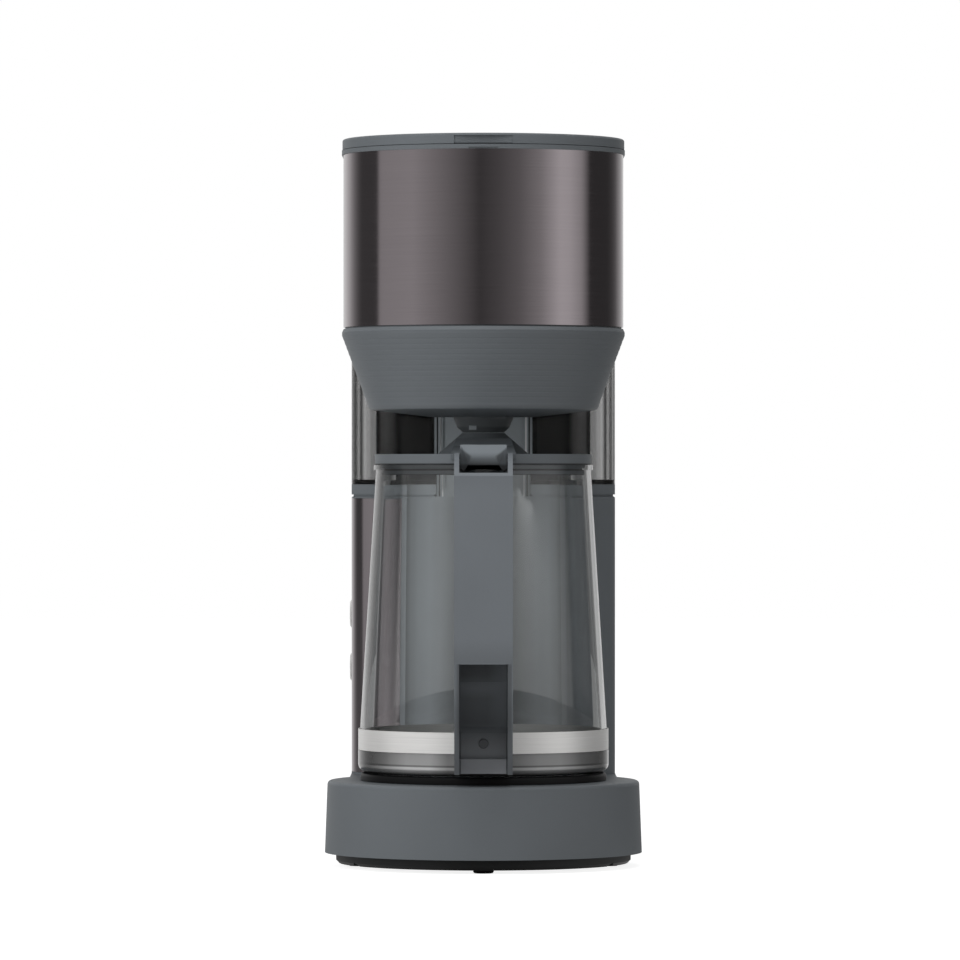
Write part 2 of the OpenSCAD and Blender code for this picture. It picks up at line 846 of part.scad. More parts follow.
module switches() {
    color([0.15, 0.15, 0.15]) on_axis() for (z = button_zs) {
        translate([-board_x - switch_h, button_y, z]) rotate([0, 90, 0]) difference() {
            cylinder(h = switch_h, r = switch_r);
            translate([0, 0, -over]) cylinder(h = switch_h - 1.5 * slip + over / 2, r = button_post_r + fit);
        }
    }
}

module tank_collar() {
    color([0.36, 0.39, 0.4]) on_axis() difference() {
        union() {
            translate([0, 0, z_tower]) linear_extrude(tower_edge + over / 2) tank_plan(tower_edge);
            translate([0, 0, z_tower + tower_edge]) linear_extrude(collar_h - tower_edge) tank_plan(0);
        }
        translate([cold_x, cold_y, z_tower - over]) cylinder(h = collar_h + 2 * over, r = tube_r + seal_t + fit);
    }
}

module water_tank() {
    color([0.5, 0.5, 0.5, 0.35]) on_axis() difference() {
        union() {
            translate([0, 0, z_tank]) linear_extrude(z_rim - z_tank) tank_plan(0);
            translate([cold_x, cold_y, z_tank - spigot_l]) cylinder(h = spigot_l + tank_floor / 2, r = tube_r);
        }
        translate([0, 0, z_tank + tank_floor]) linear_extrude(z_rim - z_tank) tank_plan(tank_wall);
        translate([cold_x, cold_y, z_tank - spigot_l - over]) {
            cylinder(h = spigot_l + tank_floor + 2 * over, r = tube_bore_r);
        }
        translate([0, 0, z_tank - over]) linear_extrude(z_rim - z_tank + 2 * over) back_plan(slip, over);
    }
}

// Plan of the sheet round the tank's back
module back_plan(gap, grow) {
    t = back_t + gap;
    intersection() {
        difference() {
            rounded_plan(tower_half_w + grow, tower_front, tower_back + grow, tower_corner_r, tower_back_r + grow);
            rounded_plan(tower_half_w - t, tower_front, tower_back - t, tower_corner_r, tower_back_r - t);
        }
        translate([-back_half_w - gap, spine_back + cold_gap]) square([2 * (back_half_w + gap), tower_back]);
    }
}

module tank_back() {
    color([0.08, 0.08, 0.09]) on_axis() translate([0, 0, z_tank]) linear_extrude(z_rim - z_tank) back_plan(0, 0);
}

module tank_seal() {
    color([0.75, 0.75, 0.73]) on_axis() translate([cold_x, cold_y, z_tower + fit]) {
        ring(tube_r + seal_t, tube_r + slip, collar_h - fit);
    }
}

module cold_hose() {
    top = z_tank - spigot_l + seal_h;
    foot = pipe_z + elbow_r;
    run_y = cold_y - elbow_r - stub_end_y - valve_l;
    color([0.8, 0.8, 0.78]) on_axis() translate([cold_x, cold_y, 0]) {
        translate([0, 0, foot]) tube(top - foot, hose_r, tube_r + slip);
        translate([0, 0, foot]) mirror([0, 0, 1]) bend(elbow_r, hose_r, tube_r + slip);
        translate([0, -elbow_r, pipe_z]) rotate([90, 0, 0]) tube(run_y - slip, hose_r, tube_r + slip);
    }
}

module spine() {
    h = z_rim - z_tower;
    color([0.37, 0.4, 0.41]) on_axis() translate([0, 0, z_tower]) difference() {
        linear_extrude(h) difference() {
            translate([-spine_half_w, 0]) square([2 * spine_half_w, spine_back]);
            circle(niche_r);
        }
        translate([0, 0, -over]) linear_extrude(h + 2 * over) difference() {
            translate([spine_wall - spine_half_w, 0]) {
                square([2 * (spine_half_w - spine_wall), spine_back - spine_wall]);
            }
            circle(niche_r + 2 * spine_recess + spine_wall);
        }
        // Face of the spine, sunk in two steps inside its frame
        for (i = [0, 1]) translate([0, 0, spine_frame + i * spine_step]) {
            linear_extrude(z_cone - z_tower) intersection() {
                translate([spine_frame + i * spine_step - spine_half_w, 0]) {
                    square([2 * (spine_half_w - spine_frame - i * spine_step), spine_back]);
                }
                circle(niche_r + (i + 1) * spine_recess);
            }
        }
        translate([-duct_w / 2 - duct_gap, 0, h - duct_h]) {
            cube([duct_w + 2 * duct_gap, riser_y, duct_h + over]);
        }
    }
}

module riser_tube() {
    run_y = riser_y - elbow_r - stub_end_y;
    color([0.85, 0.85, 0.85]) on_axis() translate([0, riser_y, 0]) {
        translate([0, 0, pipe_z + elbow_r]) tube(riser_top - pipe_z - elbow_r, tube_r, tube_bore_r);
        translate([0, 0, pipe_z + elbow_r]) mirror([0, 0, 1]) bend(elbow_r, tube_r, tube_bore_r);
        translate([0, -elbow_r, pipe_z]) rotate([90, 0, 0]) tube(run_y, tube_r, tube_bore_r);
    }
}

module outlet_seal() {
    color([0.75, 0.75, 0.73]) on_axis() translate([0, riser_y, riser_top - seal_h]) {
        ring(tube_r + seal_t, tube_r + slip, seal_h);
    }
}

// Outside of the filter housing: upright lip, grooved taper, rounded foot and shallow underside
function cone_side() = let (
    top = cone_h - cone_lip,
    low = cone_round,
    pitch = (top - low) / (groove_n + 1),
    slope = (cone_r - cone_foot_r) / (top - low)
) [for (i = [1 : groove_n], k = [0 : 2])
    let (z = low + pitch * (i + (k - 1) * groove_w_share / 2))
    [cone_foot_r + (z - low) * slope - (k == 1 ? groove_d : 0), z]
];

module filter_housing() {
    foot_in = cone_foot_r - cone_round;
    color([0.36, 0.39, 0.4]) on_axis() translate([0, 0, z_cone]) difference() {
        union() {
            rotate_extrude() difference() {
                union() {
                    polygon(concat(
                        [[0, -cone_dip], [cone_dip_r, -cone_dip], [foot_in, 0], [cone_foot_r, cone_round]],
                        cone_side(),
                        [[cone_r, cone_h - cone_lip], [cone_r, cone_h - seam_gap - cone_bevel_h]],
                        [[cone_r - cone_bevel, cone_h - seam_gap], [liner_r, cone_h - seam_gap]],
                        [[liner_r, cone_h], [0, cone_h]]
                    ));
                    translate([foot_in, cone_round]) circle(cone_round);
                }
                polygon([
                    [0, cone_t - cone_dip], [cone_dip_r, cone_t - cone_dip], [foot_in - cone_t / 2, cone_t],
                    [cone_r - cone_t, cone_h - cone_lip], [cone_r - cone_t, cone_h + over], [0, cone_h + over]
                ]);
            }
            cone_lug();
        }
        translate([0, 0, -cone_dip - over]) cylinder(h = cone_t + 2 * over, r = nozzle_bore_r);
    }
}

// Block at the back of the taper, up against the spine
module cone_lug() {
    intersection() {
        difference() {
            cylinder(h = cone_h - cone_lip, r = cone_r);
            translate([0, 0, cone_round]) {
                cylinder(h = cone_h - cone_lip - cone_round, r1 = cone_foot_r - 1.5 * groove_d,
                    r2 = cone_r - 1.5 * groove_d);
            }
        }
        translate([-lug_half_w, 0, cone_round]) cube([2 * lug_half_w, cone_r, cone_h - cone_lip - cone_round]);
    }
}

// Notch at the back of the drum and the liner that the water duct passes through
module duct_notch() {
    translate([-duct_w / 2 - duct_gap, 0, z_rim - duct_h]) {
        cube([duct_w + 2 * duct_gap, spine_back, duct_h + over]);
    }
}

module steel_drum() {
    color([0.3, 0.27, 0.28]) on_axis() difference() {
        translate([0, 0, z_seam + fit]) ring(drum_r, drum_r_in, drum_h - fit);
        duct_notch();
    }
}

module head_liner() {
    color([0.2, 0.21, 0.22]) on_axis() difference() {
        union() {
            translate([0, 0, z_seam]) ring(liner_r, liner_r_in, drum_h);
            translate([0, 0, z_basket_rim - basket_flange_t - ledge_h]) {
                ring(liner_r - liner_t / 2, liner_r_in - ledge_w, ledge_h);
            }
        }
        duct_notch();
    }
}

module brew_basket() {
    floor_z = z_basket_floor;
    top = z_basket_rim - floor_z;
    color([0.12, 0.12, 0.13]) on_axis() translate([0, 0, floor_z]) {
        rotate_extrude() polygon([
            [basket_hole_r, -basket_t], [nozzle_r + nozzle_flange_w, -basket_t],
            [nozzle_r + nozzle_flange_w, -basket_skirt_h], [nozzle_r + nozzle_flange_w + basket_t, -basket_skirt_h],
            [nozzle_r + nozzle_flange_w + basket_t, -basket_t],
            [basket_floor_r, -basket_t], [basket_wall_r, top - basket_flange_t],
            [basket_flange_r, top - basket_flange_t], [basket_flange_r, top],
            [basket_wall_r - basket_t, top], [basket_floor_r - basket_t, 0], [basket_hole_r, 0]
        ]);
        for (i = [0 : basket_rib_n - 1]) rotate([0, 0, 360 * i / basket_rib_n]) basket_rib(top);
    }
}

// Upright rib along the basket's sloping wall
module basket_rib(top) {
    lean = (basket_wall_r - basket_floor_r) / top;
    rib_top = top - 2 * basket_flange_t;
    r0 = basket_floor_r - basket_t;
    rotate([90, 0, 0]) translate([0, 0, -basket_rib_t / 2]) linear_extrude(basket_rib_t) polygon([
        [r0 - basket_rib_d, -basket_t / 2], [r0 + basket_t / 2, -basket_t / 2],
        [r0 + basket_t / 2 + rib_top * lean, rib_top], [r0 - basket_t / 4 + rib_top * lean, rib_top],
        [r0 - basket_rib_d + basket_rib_d * lean, basket_rib_d]
    ]);
}

module head_rim() {
    color([0.36, 0.39, 0.4]) on_axis() difference() {
        union() {
            translate([0, 0, z_rim]) linear_extrude(rim_h) {
                rounded_plan(rim_half_w, -rim_half_w, rim_back, rim_half_w, rim_back_r);
            }
            for (s = [-1, 1]) translate([s * hinge_x - ear_w / 2, hinge_y, hinge_z]) {
                rotate([0, 90, 0]) cylinder(h = ear_w, r = lid_h / 2);
                translate([0, -lid_h / 2, z_rim + rim_h / 2 - hinge_z]) {
                    cube([ear_w, lid_h, hinge_z - z_rim - rim_h / 2]);
                }
            }
        }
        translate([0, 0, z_rim - over]) cylinder(h = rim_h + 2 * over, r = rim_hole_r);
        translate([0, 0, z_rim - over]) linear_extrude(rim_h + 2 * over) tank_plan(tank_wall);
        translate([0, 0, rim_h]) duct_notch_rim();
        for (s = [-1, 1]) translate([s * hinge_x - ear_w, hinge_y, hinge_z]) rotate([0, 90, 0]) {
            cylinder(h = 2 * ear_w, r = lid_pin_r + run / 2);
        }
        translate([-grip_notch_w / 4, -rim_half_w - over, z_rim - over]) {
            cube([grip_notch_w / 2, notch_d + over, over + rim_h / 3]);
        }
    }
}

// The part of the duct's way that lies in the rim
module duct_notch_rim() {
    translate([-duct_w / 2 - duct_gap, 0, z_rim - 2 * rim_h]) {
        cube([duct_w + 2 * duct_gap, riser_y + tube_r + seal_t + duct_gap, 2 * rim_h + over]);
    }
}

module lid_pins() {
    color([0.75, 0.75, 0.75]) on_axis() for (s = [-1, 1]) {
        translate([s * hinge_x - lid_pin_l / 2, hinge_y, hinge_z]) rotate([0, 90, 0]) {
            cylinder(h = lid_pin_l, r = lid_pin_r);
        }
    }
}

module head_lid() {
    straight = lid_half_w - lid_back_r;
    bore_l = lid_pin_l + 2 * fit;
    slot_d = 0.83 * lid_h;
    color([0.36, 0.39, 0.4]) on_axis() difference() {
        union() {
            difference() {
                translate([0, 0, z_lid]) {
                    slab(lid_half_w, -lid_half_w, lid_back, lid_half_w, lid_back_r, lid_h, lid_edge);
                }
                translate([0, 0, z_lid - over]) linear_extrude(lid_h - lid_t + over) {
                    rounded_plan(lid_half_w - lid_skirt, lid_skirt - lid_half_w, hinge_y - lid_h,
                        lid_half_w - lid_skirt, lid_back_r - lid_skirt);
                }
                translate([-lid_half_w, hinge_y, z_lid - over]) {
                    cube([2 * lid_half_w, lid_h, lid_h + 2 * over]);
                }
            }
            translate([-straight, hinge_y, hinge_z]) rotate([0, 90, 0]) cylinder(h = 2 * straight, r = lid_h / 2);
            lid_ribs();
        }
        for (s = [-1, 1]) {
            translate([s * hinge_x - bore_l / 2, hinge_y, hinge_z]) rotate([0, 90, 0]) {
                cylinder(h = bore_l, r = lid_pin_r + run);
            }
            translate([s * hinge_x - ear_w / 2 - fit, hinge_y - slot_d, z_lid - over]) {
                cube([ear_w + 2 * fit, slot_d + lid_h, lid_h + 2 * over]);
            }
        }
        lid_finger_grip();
    }
}

// Stiffening ribs under the lid, clear of the shower head and its duct
module lid_ribs() {
    x = duct_w / 2 + 2 * lid_skirt + shower_r;
    for (s = [-1, 1]) translate([s * x - lid_rib_t / 2, -lid_half_w / 2, z_top - lid_t - lid_rib_h]) {
        cube([lid_rib_t, hinge_y - lid_h + lid_half_w / 2 - lid_back_r / 2, lid_rib_h + lid_t / 2]);
    }
}

// Shallow grip face in the lid's front with an undercut along its lower edge
module lid_finger_grip() {
    translate([-grip_notch_w / 2, -lid_half_w - over, z_lid - over]) {
        cube([grip_notch_w, over + notch_d / 2 + grip_notch_w * grip_notch_w / (8 * lid_half_w), lid_h - lid_edge + over]);
        cube([grip_notch_w, over + 2 * notch_d + grip_notch_w * grip_notch_w / (8 * lid_half_w), notch_h + over]);
    }
}

module shower_head() {
    top = z_top - lid_t;
    duct_end = riser_y + tube_r + seal_t;
    duct_z = riser_top + fit;
    color([0.16, 0.17, 0.18]) on_axis() difference() {
        union() {
            translate([0, 0, top - shower_h]) cylinder(h = shower_h, r = shower_r);
            translate([-duct_w / 2, 0, duct_z]) cube([duct_w, duct_end, top - duct_z]);
        }
        translate([0, 0, top - shower_h + shower_wall]) {
            cylinder(h = shower_h - 2 * shower_wall, r = shower_r - shower_wall);
        }
        translate([duct_wall - duct_w / 2, 0, duct_z + duct_wall]) {
            cube([duct_w - 2 * duct_wall, duct_end - duct_wall, top - duct_z - 2 * duct_wall]);
        }
        translate([0, riser_y, duct_z - over]) cylinder(h = duct_wall + 2 * over, r = tube_bore_r);
        for (row = spray_rings, i = [0 : row[0] - 1]) rotate([0, 0, 360 * i / row[0]]) {
            translate([row[1], 0, top - shower_h - over]) cylinder(h = shower_wall + 2 * over, r = spray_hole_r);
        }
    }
}

module drip_nozzle() {
    top = nozzle_drop + cone_t;
    color([0.22, 0.24, 0.25]) on_axis() translate([0, 0, z_nozzle]) difference() {
        rotate_extrude() difference() {
            polygon([
                [0, 0], [nozzle_foot_r, 0], [nozzle_waist_r, nozzle_waist], [nozzle_r, nozzle_shoulder],
                [nozzle_r, top],
                [nozzle_r + nozzle_flange_w, top], [nozzle_r + nozzle_flange_w, top + nozzle_flange_t],
                [0, top + nozzle_flange_t]
            ]);
            translate([0, -over]) square([chamber_r, seat_z - z_nozzle + over]);
            translate([0, -over]) square([seat_bore_r, top]);
            translate([0, seat_z + seat_t - z_nozzle]) square([nozzle_r - nozzle_wall, top + nozzle_flange_t]);
        }
        translate([-window_x - window_w / 2, -nozzle_r, window_rise]) {
            cube([window_w, 2 * nozzle_r, window_h]);
        }
    }
}

module valve_plunger() {
    color([0.55, 0.55, 0.55]) on_axis() {
        translate([0, 0, z_nozzle]) cylinder(h = z_disc - z_nozzle, r = stem_r);
        translate([0, 0, z_disc]) cylinder(h = disc_t, r = washer_r);
    }
}

module valve_washer() {
    color([0.75, 0.75, 0.73]) on_axis() translate([0, 0, z_disc - washer_t]) {
        ring(washer_r, stem_r + slip / 2, washer_t);
    }
}

// Helical wire about +Z
module coil(r, wire_r, turns, h) {
    steps = 8;
    sides = 6;
    count = turns * steps;
    lead = h - 2 * wire_r;
    pts = [for (i = [0 : count], k = [0 : sides - 1])
        let (a = 360 * i / steps, b = 360 * k / sides, q = r + wire_r * cos(b))
        [q * cos(a), q * sin(a), wire_r + lead * i / count + wire_r * sin(b)]];
    walls = [for (i = [0 : count - 1], k = [0 : sides - 1])
        let (a = i * sides + k, b = i * sides + (k + 1) % sides)
        each [[a, b + sides, b], [a, a + sides, b + sides]]];
    caps = [
        for (k = [1 : sides - 2]) [0, k, k + 1],
        for (k = [1 : sides - 2]) [count * sides, count * sides + k + 1, count * sides + k]
    ];
    polyhedron(points = pts, faces = concat(walls, caps), convexity = 10);
}

module valve_spring() {
    z0 = z_disc + disc_t + slip;
    color([0.75, 0.75, 0.75]) on_axis() translate([0, 0, z0]) {
        coil(spring_r, spring_wire_r, spring_turns, z_cage - slip - z0);
    }
}

module valve_cage() {
    foot = z_nozzle + nozzle_drop + cone_t + nozzle_flange_t;
    color([0.22, 0.24, 0.25]) on_axis() difference() {
        union() {
            translate([0, 0, foot]) ring(nozzle_r + nozzle_flange_w - 2 * fit, cage_r - cage_leg_t, cage_t);
            translate([0, 0, z_cage]) intersection() {
                cylinder(h = cage_t, r = cage_r);
                union() for (a = [0, 90]) rotate([0, 0, a]) {
                    translate([-cage_r, -cage_bar_w / 2, 0]) cube([2 * cage_r, cage_bar_w, cage_t]);
                }
            }
            for (i = [0 : 3]) rotate([0, 0, 90 * i]) translate([0, 0, foot]) intersection() {
                ring(cage_r, cage_r - cage_leg_t, z_cage + cage_t - foot);
                translate([0, -cage_bar_w, 0]) cube([cage_r, 2 * cage_bar_w, z_cage + cage_t - foot]);
            }
        }
    }
}

// Half section of the glass: the outside, and the hollow
module glass_outside() {
    r = glass_foot_r;
    groove = glass_belly_r - groove_depth;
    polygon([
        [0, 0], [r - glass_round, 0], [r, glass_round], [r, band_z - slip], [groove, band_z - slip],
        [groove, band_z + band_w + slip], [glass_belly_r, band_z + band_w + slip],
        [glass_neck_r, glass_h - neck_h], [glass_neck_r, glass_h - bead_h],
        [glass_neck_r + bead_out, glass_h - bead_h], [glass_neck_r + bead_out, glass_h], [0, glass_h]
    ]);
    translate([r - glass_round, glass_round]) circle(glass_round);
}

module glass_hollow() {
    r = glass_belly_r - glass_t;
    polygon([
        [0, glass_floor], [r - glass_inner_round, glass_floor], [r, glass_floor + glass_inner_round],
        [r, band_z + band_w], [glass_neck_r - glass_t, glass_h - neck_h],
        [glass_neck_r - glass_t, glass_h + over], [0, glass_h + over]
    ]);
    translate([r - glass_inner_round, glass_floor + glass_inner_round]) circle(glass_inner_round);
}

// Tilted cone that forms the spout at the back of the mouth
module spout_cone(r) {
    translate([0, glass_neck_r + spout_out - spout_r, glass_h]) {
        mirror([0, 0, 1]) cylinder(h = spout_h, r1 = r, r2 = r - spout_out);
    }
}

module jug_glass() {
    color([0.85, 0.88, 0.88, 0.3]) on_axis() translate([0, 0, z_jug]) difference() {
        union() {
            rotate_extrude() glass_outside();
            spout_cone(spout_r);
        }
        rotate_extrude() glass_hollow();
        translate([0, 0, over / 10]) spout_cone(spout_r - spout_wall);
        translate([0, glass_neck_r + spout_out - spout_r, glass_h - over / 10]) {
            cylinder(h = over, r = spout_r - spout_wall);
        }
    }
}

module jug_band() {
    color([0.8, 0.8, 0.8]) on_axis() translate([0, 0, z_jug + band_z]) difference() {
        ring(band_r, band_r - band_t, band_w);
        translate([0, -band_r + band_t + over, band_w / 2]) rotate([90, 0, 0]) {
            cylinder(h = band_t + 2 * over, r = screw_r + fit);
        }
    }
}

module band_screw() {
    color([0.15, 0.15, 0.15]) on_axis() translate([0, -band_r - slip - plate_t, z_jug + band_screw_z]) {
        translate([0, -screw_head_h / 2, 0]) rotate([-90, 0, 0]) {
            cylinder(h = screw_head_h / 2, r1 = band_screw_r - fit, r2 = band_screw_r);
            cylinder(h = screw_head_h / 2 + plate_t + slip + band_t, r = screw_r);
        }
    }
}

// Side view of the handle: distance from the jug's axis, height above the foot of the glass
function handle_outline() = concat(
    [[glass_neck_r, arm_low_z], [glass_neck_r, arm_top_z]],
    arc([grip_reach - grip_round, arm_top_z - grip_round], grip_round, 90, 0),
    [[grip_reach, foot_turn_z + grip_round]],
    arc([foot_reach, foot_turn_z], grip_reach - foot_reach, 0, -foot_turn),
    [[foot_reach, handle_z0], [band_r - over, handle_z0], [band_r - over, web_low[1]], web_low],
    handle_inner_points(0)
);

// The edge of the finger gap, from the foot of the web up to the arm
function handle_inner_points(shift) = let (u = grip_reach - grip_depth + shift) concat(
    [[web_low[0] + shift, web_low[1] - shift / 2]],
    [[u - grip_inner_round / 2, foot_turn_z], [u, foot_turn_z + grip_inner_round]],
    arc([u - grip_inner_round, arm_low_z - grip_inner_round + shift], grip_inner_round, 0, 90)
);

module side_extrude(w) {
    rotate([90, 0, -90]) translate([0, 0, -w / 2]) linear_extrude(w) children();
}

module jug_handle() {
    inner_w = handle_w - 2 * handle_wall;
    color([0.38, 0.41, 0.42]) on_axis() translate([0, 0, z_jug]) difference() {
        side_extrude(handle_w) polygon(handle_outline());
        // Hollow of the grip, which opens to the front below the grip's face
        side_extrude(inner_w) polygon(concat(
            [[foot_reach + grip_depth, handle_z0 - over], [grip_reach + over, handle_z0 - over]],
            [[grip_reach + over, grip_open_z], [grip_reach - web_t, grip_open_z]],
            [[grip_reach - web_t, arm_top_z - grip_round], [grip_reach - grip_inner_round, recess_z - web_t]],
            [[grip_reach - grip_depth + web_t, recess_z - web_t]],
            [[grip_reach - grip_depth + web_t, foot_turn_z + grip_inner_round - web_t / 2]],
            [[grip_reach - grip_depth + web_t - grip_inner_round / 2, foot_turn_z - web_t / 2]],
            [[web_low[0] + web_t, web_low[1] - web_t / 2], [band_r + slip + plate_t, band_z + band_w]],
            [[band_r + slip + plate_t, ledge_top], [band_r + slip + plate_t + plate_ledge, ledge_top]],
            [[band_r + slip + plate_t + plate_ledge, handle_z0 - over]]
        ));
        // Recess for the thumb lever, open at the top and towards the lid
        side_extrude(inner_w) polygon([
            [glass_neck_r - over, recess_z], [grip_reach - web_t - over, recess_z],
            [grip_reach - web_t - over, arm_top_z + over], [glass_neck_r - over, arm_top_z + over]
        ]);
        // Seats against the lid, the neck and the band
        translate([0, 0, arm_low_z - over]) cylinder(h = glass_h - bead_h - neck_h - arm_low_z + over,
            r1 = glass_neck_r + bead_out + 2 * fit, r2 = glass_neck_r + bead_out + fit);
        translate([0, 0, glass_h - bead_h - neck_h - over / 10]) {
            cylinder(h = bead_h + neck_h + jug_lid_h + 2 * over, r = glass_neck_r + bead_out + fit);
        }
        translate([0, 0, handle_z0 - over]) cylinder(h = web_low[1] + 2 * over, r = band_r + slip);
        translate([0, -hinge_reach, jug_hinge_z]) rotate([0, 90, 0]) {
            cylinder(h = handle_w + 2 * over, r = jug_pin_r + run, center = true);
        }
        translate([0, -band_r + over, band_screw_z]) rotate([90, 0, 0]) {
            cylinder(h = plate_t + 2 * over, r = screw_r + slip);
        }
    }
}

// Half section of the jug's lid about its middle, and of the hollow under it
module jug_lid_section() {
    polygon([
        [0, -plug_h], [plug_r - plug_step, -plug_h], [plug_r - plug_step, -plug_h / 2],
        [plug_r - plug_groove, -plug_h / 2], [plug_r - plug_groove, plug_groove_h - plug_h / 2],
        [plug_r, plug_groove_h - plug_h / 2],
        [plug_r, 0], [jug_lid_r, 0], [jug_lid_r, jug_lid_h], [dome_r, jug_lid_h],
        [dome_top_r, jug_lid_h + dome_h], [0, jug_lid_h + dome_h]
    ]);
}

module jug_lid_hollow() {
    r = plug_r - plug_groove - dome_t;
    top = jug_lid_h + dome_h;
    rotate_extrude() polygon([
        [0, -plug_h - over], [r, -plug_h - over], [r, jug_lid_h - dome_t], [dome_r - dome_t, jug_lid_h - dome_t],
        [dome_top_r - dome_t, top - dome_t], [dome_well_r, top - dome_t], [dome_well_r, top + over], [0, top + over]
    ]);
}

module jug_lid() {
    color([0.34, 0.37, 0.38]) on_axis() {
        difference() {
            union() {
                translate([0, 0, jug_lid_z]) rotate_extrude() jug_lid_section();
                bridge();
                lever();
            }
            translate([0, 0, jug_lid_z]) jug_lid_hollow();
            translate([0, -hinge_reach, z_jug + jug_hinge_z]) rotate([0, 90, 0]) {
                cylinder(h = handle_w, r = jug_pin_r + run, center = true);
            }
            translate([-pour_notch_w / 2, dome_r, jug_lid_z - plug_h - over]) {
                cube([pour_notch_w, jug_lid_r, plug_h + over]);
            }
        }
        translate([0, 0, jug_lid_z]) pusher();
    }
}

// Post that lifts the drip stop, on three ribs across the dome's well
module pusher() {
    top = jug_lid_h + dome_h;
    translate([0, 0, top - dome_t]) cylinder(h = dome_t, r = pusher_r);
    for (a = [90, 210, 330]) rotate([0, 0, a]) {
        translate([0, -pusher_rib_t / 2, top - 3 * dome_t / 4]) {
            cube([dome_well_r + dome_t / 2, pusher_rib_t, dome_t / 2]);
        }
    }
}

// Raised neck between the dome and the hinge
module bridge() {
    translate([0, 0, jug_lid_z]) intersection() {
        side_extrude(2 * bridge_half_w) polygon([
            [0, jug_lid_h / 2], [jug_lid_r - over, jug_lid_h / 2], [jug_lid_r - over, jug_lid_h],
            [dome_r + bridge_h, jug_lid_h + bridge_h / 2], [dome_r, jug_lid_h + bridge_h], [0, jug_lid_h + bridge_h]
        ]);
        rotate([90, 0, 0]) linear_extrude(jug_lid_r) polygon([
            [-bridge_half_w, 0], [bridge_half_w, 0], [bridge_half_w, jug_lid_h],
            [bridge_top_half_w, jug_lid_h + bridge_h], [-bridge_top_half_w, jug_lid_h + bridge_h],
            [-bridge_half_w, jug_lid_h]
        ]);
    }
}

// Hinge barrel and the thumb lever in front of it
module lever() {
    foot = jug_lid_z - z_jug + fit;
    translate([0, 0, z_jug]) difference() {
        union() {
            side_extrude(2 * lever_half_w) polygon([
                [jug_lid_r - 2 * over, foot], [hinge_reach, foot], [lever_bend, glass_h],
                [lever_reach - lever_tip, lever_foot_z - lever_tip], [lever_reach, lever_foot_z - lever_tip],
                [lever_reach, lever_foot_z], [hinge_reach + lever_t, lever_top],
                [hinge_reach - lever_t, lever_top], [jug_lid_r - 2 * over, jug_lid_z - z_jug + jug_lid_h]
            ]);
            translate([0, -hinge_reach, jug_hinge_z]) rotate([0, 90, 0]) {
                cylinder(h = 2 * lever_half_w, r = barrel_r, center = true);
            }
        }
        thumb_seat();
    }
}

// Seat for the thumb: a face that sinks into the lever towards its foot, with a bevel on each side
module thumb_seat() {
    fall = (lever_top - lever_foot_z) / (lever_reach - hinge_reach - lever_t);
    a = hinge_reach + lever_t + fit;
    b = lever_reach + over;
    za = lever_top - fit * fall;
    zb = lever_foot_z - over * fall;
    top = lever_top + over;
    w = scoop_half_w;
    f = scoop_foot_half_w;
    polyhedron(points = [
        [-w, -a, za], [w, -a, za], [w, -b, zb], [-w, -b, zb], [-f, -b, zb - scoop_depth], [f, -b, zb - scoop_depth],
        [-w, -a, top], [w, -a, top], [w, -b, top], [-w, -b, top]
    ], faces = [
        [6, 7, 8, 9], [0, 1, 7, 6], [9, 8, 2, 5, 4, 3], [6, 9, 3, 0], [8, 7, 1, 2], [1, 0, 4, 5], [0, 3, 4], [1, 5, 2]
    ]);
}

module jug_lid_pin() {
    color([0.75, 0.75, 0.75]) on_axis() translate([0, -hinge_reach, z_jug + jug_hinge_z]) rotate([0, 90, 0]) {
        cylinder(h = handle_w - handle_wall / 2, r = jug_pin_r, center = true);
    }
}

feet();
base_cover();
base_screws();
base_housing();
cord_outlet();
warming_plate();
plate_seal();
heating_element();
check_valve();
thermostats();
tower_housing();
rear_cover();
rear_screws();
control_panel();
power_button();
aroma_button();
switch_board();
switches();
tank_collar();
water_tank();
tank_back();
tank_seal();
cold_hose();
spine();
riser_tube();
outlet_seal();
filter_housing();
steel_drum();
head_liner();
head_rim();
lid_pins();
head_lid();
shower_head();
brew_basket();
drip_nozzle();
valve_plunger();
valve_washer();
valve_spring();
valve_cage();
jug_glass();
jug_band();
band_screw();
jug_handle();
jug_lid();
jug_lid_pin();
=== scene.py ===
import bpy
import bmesh
import math
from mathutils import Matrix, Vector


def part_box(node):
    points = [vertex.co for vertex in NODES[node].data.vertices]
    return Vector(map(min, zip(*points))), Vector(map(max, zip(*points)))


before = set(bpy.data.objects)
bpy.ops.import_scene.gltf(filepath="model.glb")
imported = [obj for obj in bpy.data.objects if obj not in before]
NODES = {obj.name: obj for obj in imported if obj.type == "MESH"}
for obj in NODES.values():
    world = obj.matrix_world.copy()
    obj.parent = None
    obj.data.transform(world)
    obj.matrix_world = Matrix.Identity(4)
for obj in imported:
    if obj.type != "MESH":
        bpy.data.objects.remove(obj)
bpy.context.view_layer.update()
scene = bpy.context.scene

X, Y, Z = 0, 1, 2
WHITE = (1.0, 1.0, 1.0, 1.0)

# Places that the CAD gives. Here and below, lengths are metres in the row frame.
band_low, band_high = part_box("jug_band")
spine_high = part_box("spine")[1]
AXIS_Y = (band_low.y + band_high.y) / 2           # the upright axis of jug, head and base
BAND_LOW = band_low.z
LID_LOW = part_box("jug_lid")[0].z
SPINE_HALF, SPINE_BACK = spine_high.x, spine_high.y


# Colours and nodes
def srgb(r, g, b):
    """Linear colour from 0-255 display values."""
    linear = []
    for v in (r / 255, g / 255, b / 255):
        linear.append(v / 12.92 if v <= 0.04045 else ((v + 0.055) / 1.055) ** 2.4)
    return tuple(linear) + (1.0,)


# A Mix node's two inputs and its output, by what it mixes
MIX_SOCKETS = {"FLOAT": (2, 3, 0), "VECTOR": (4, 5, 1), "RGBA": (6, 7, 2)}


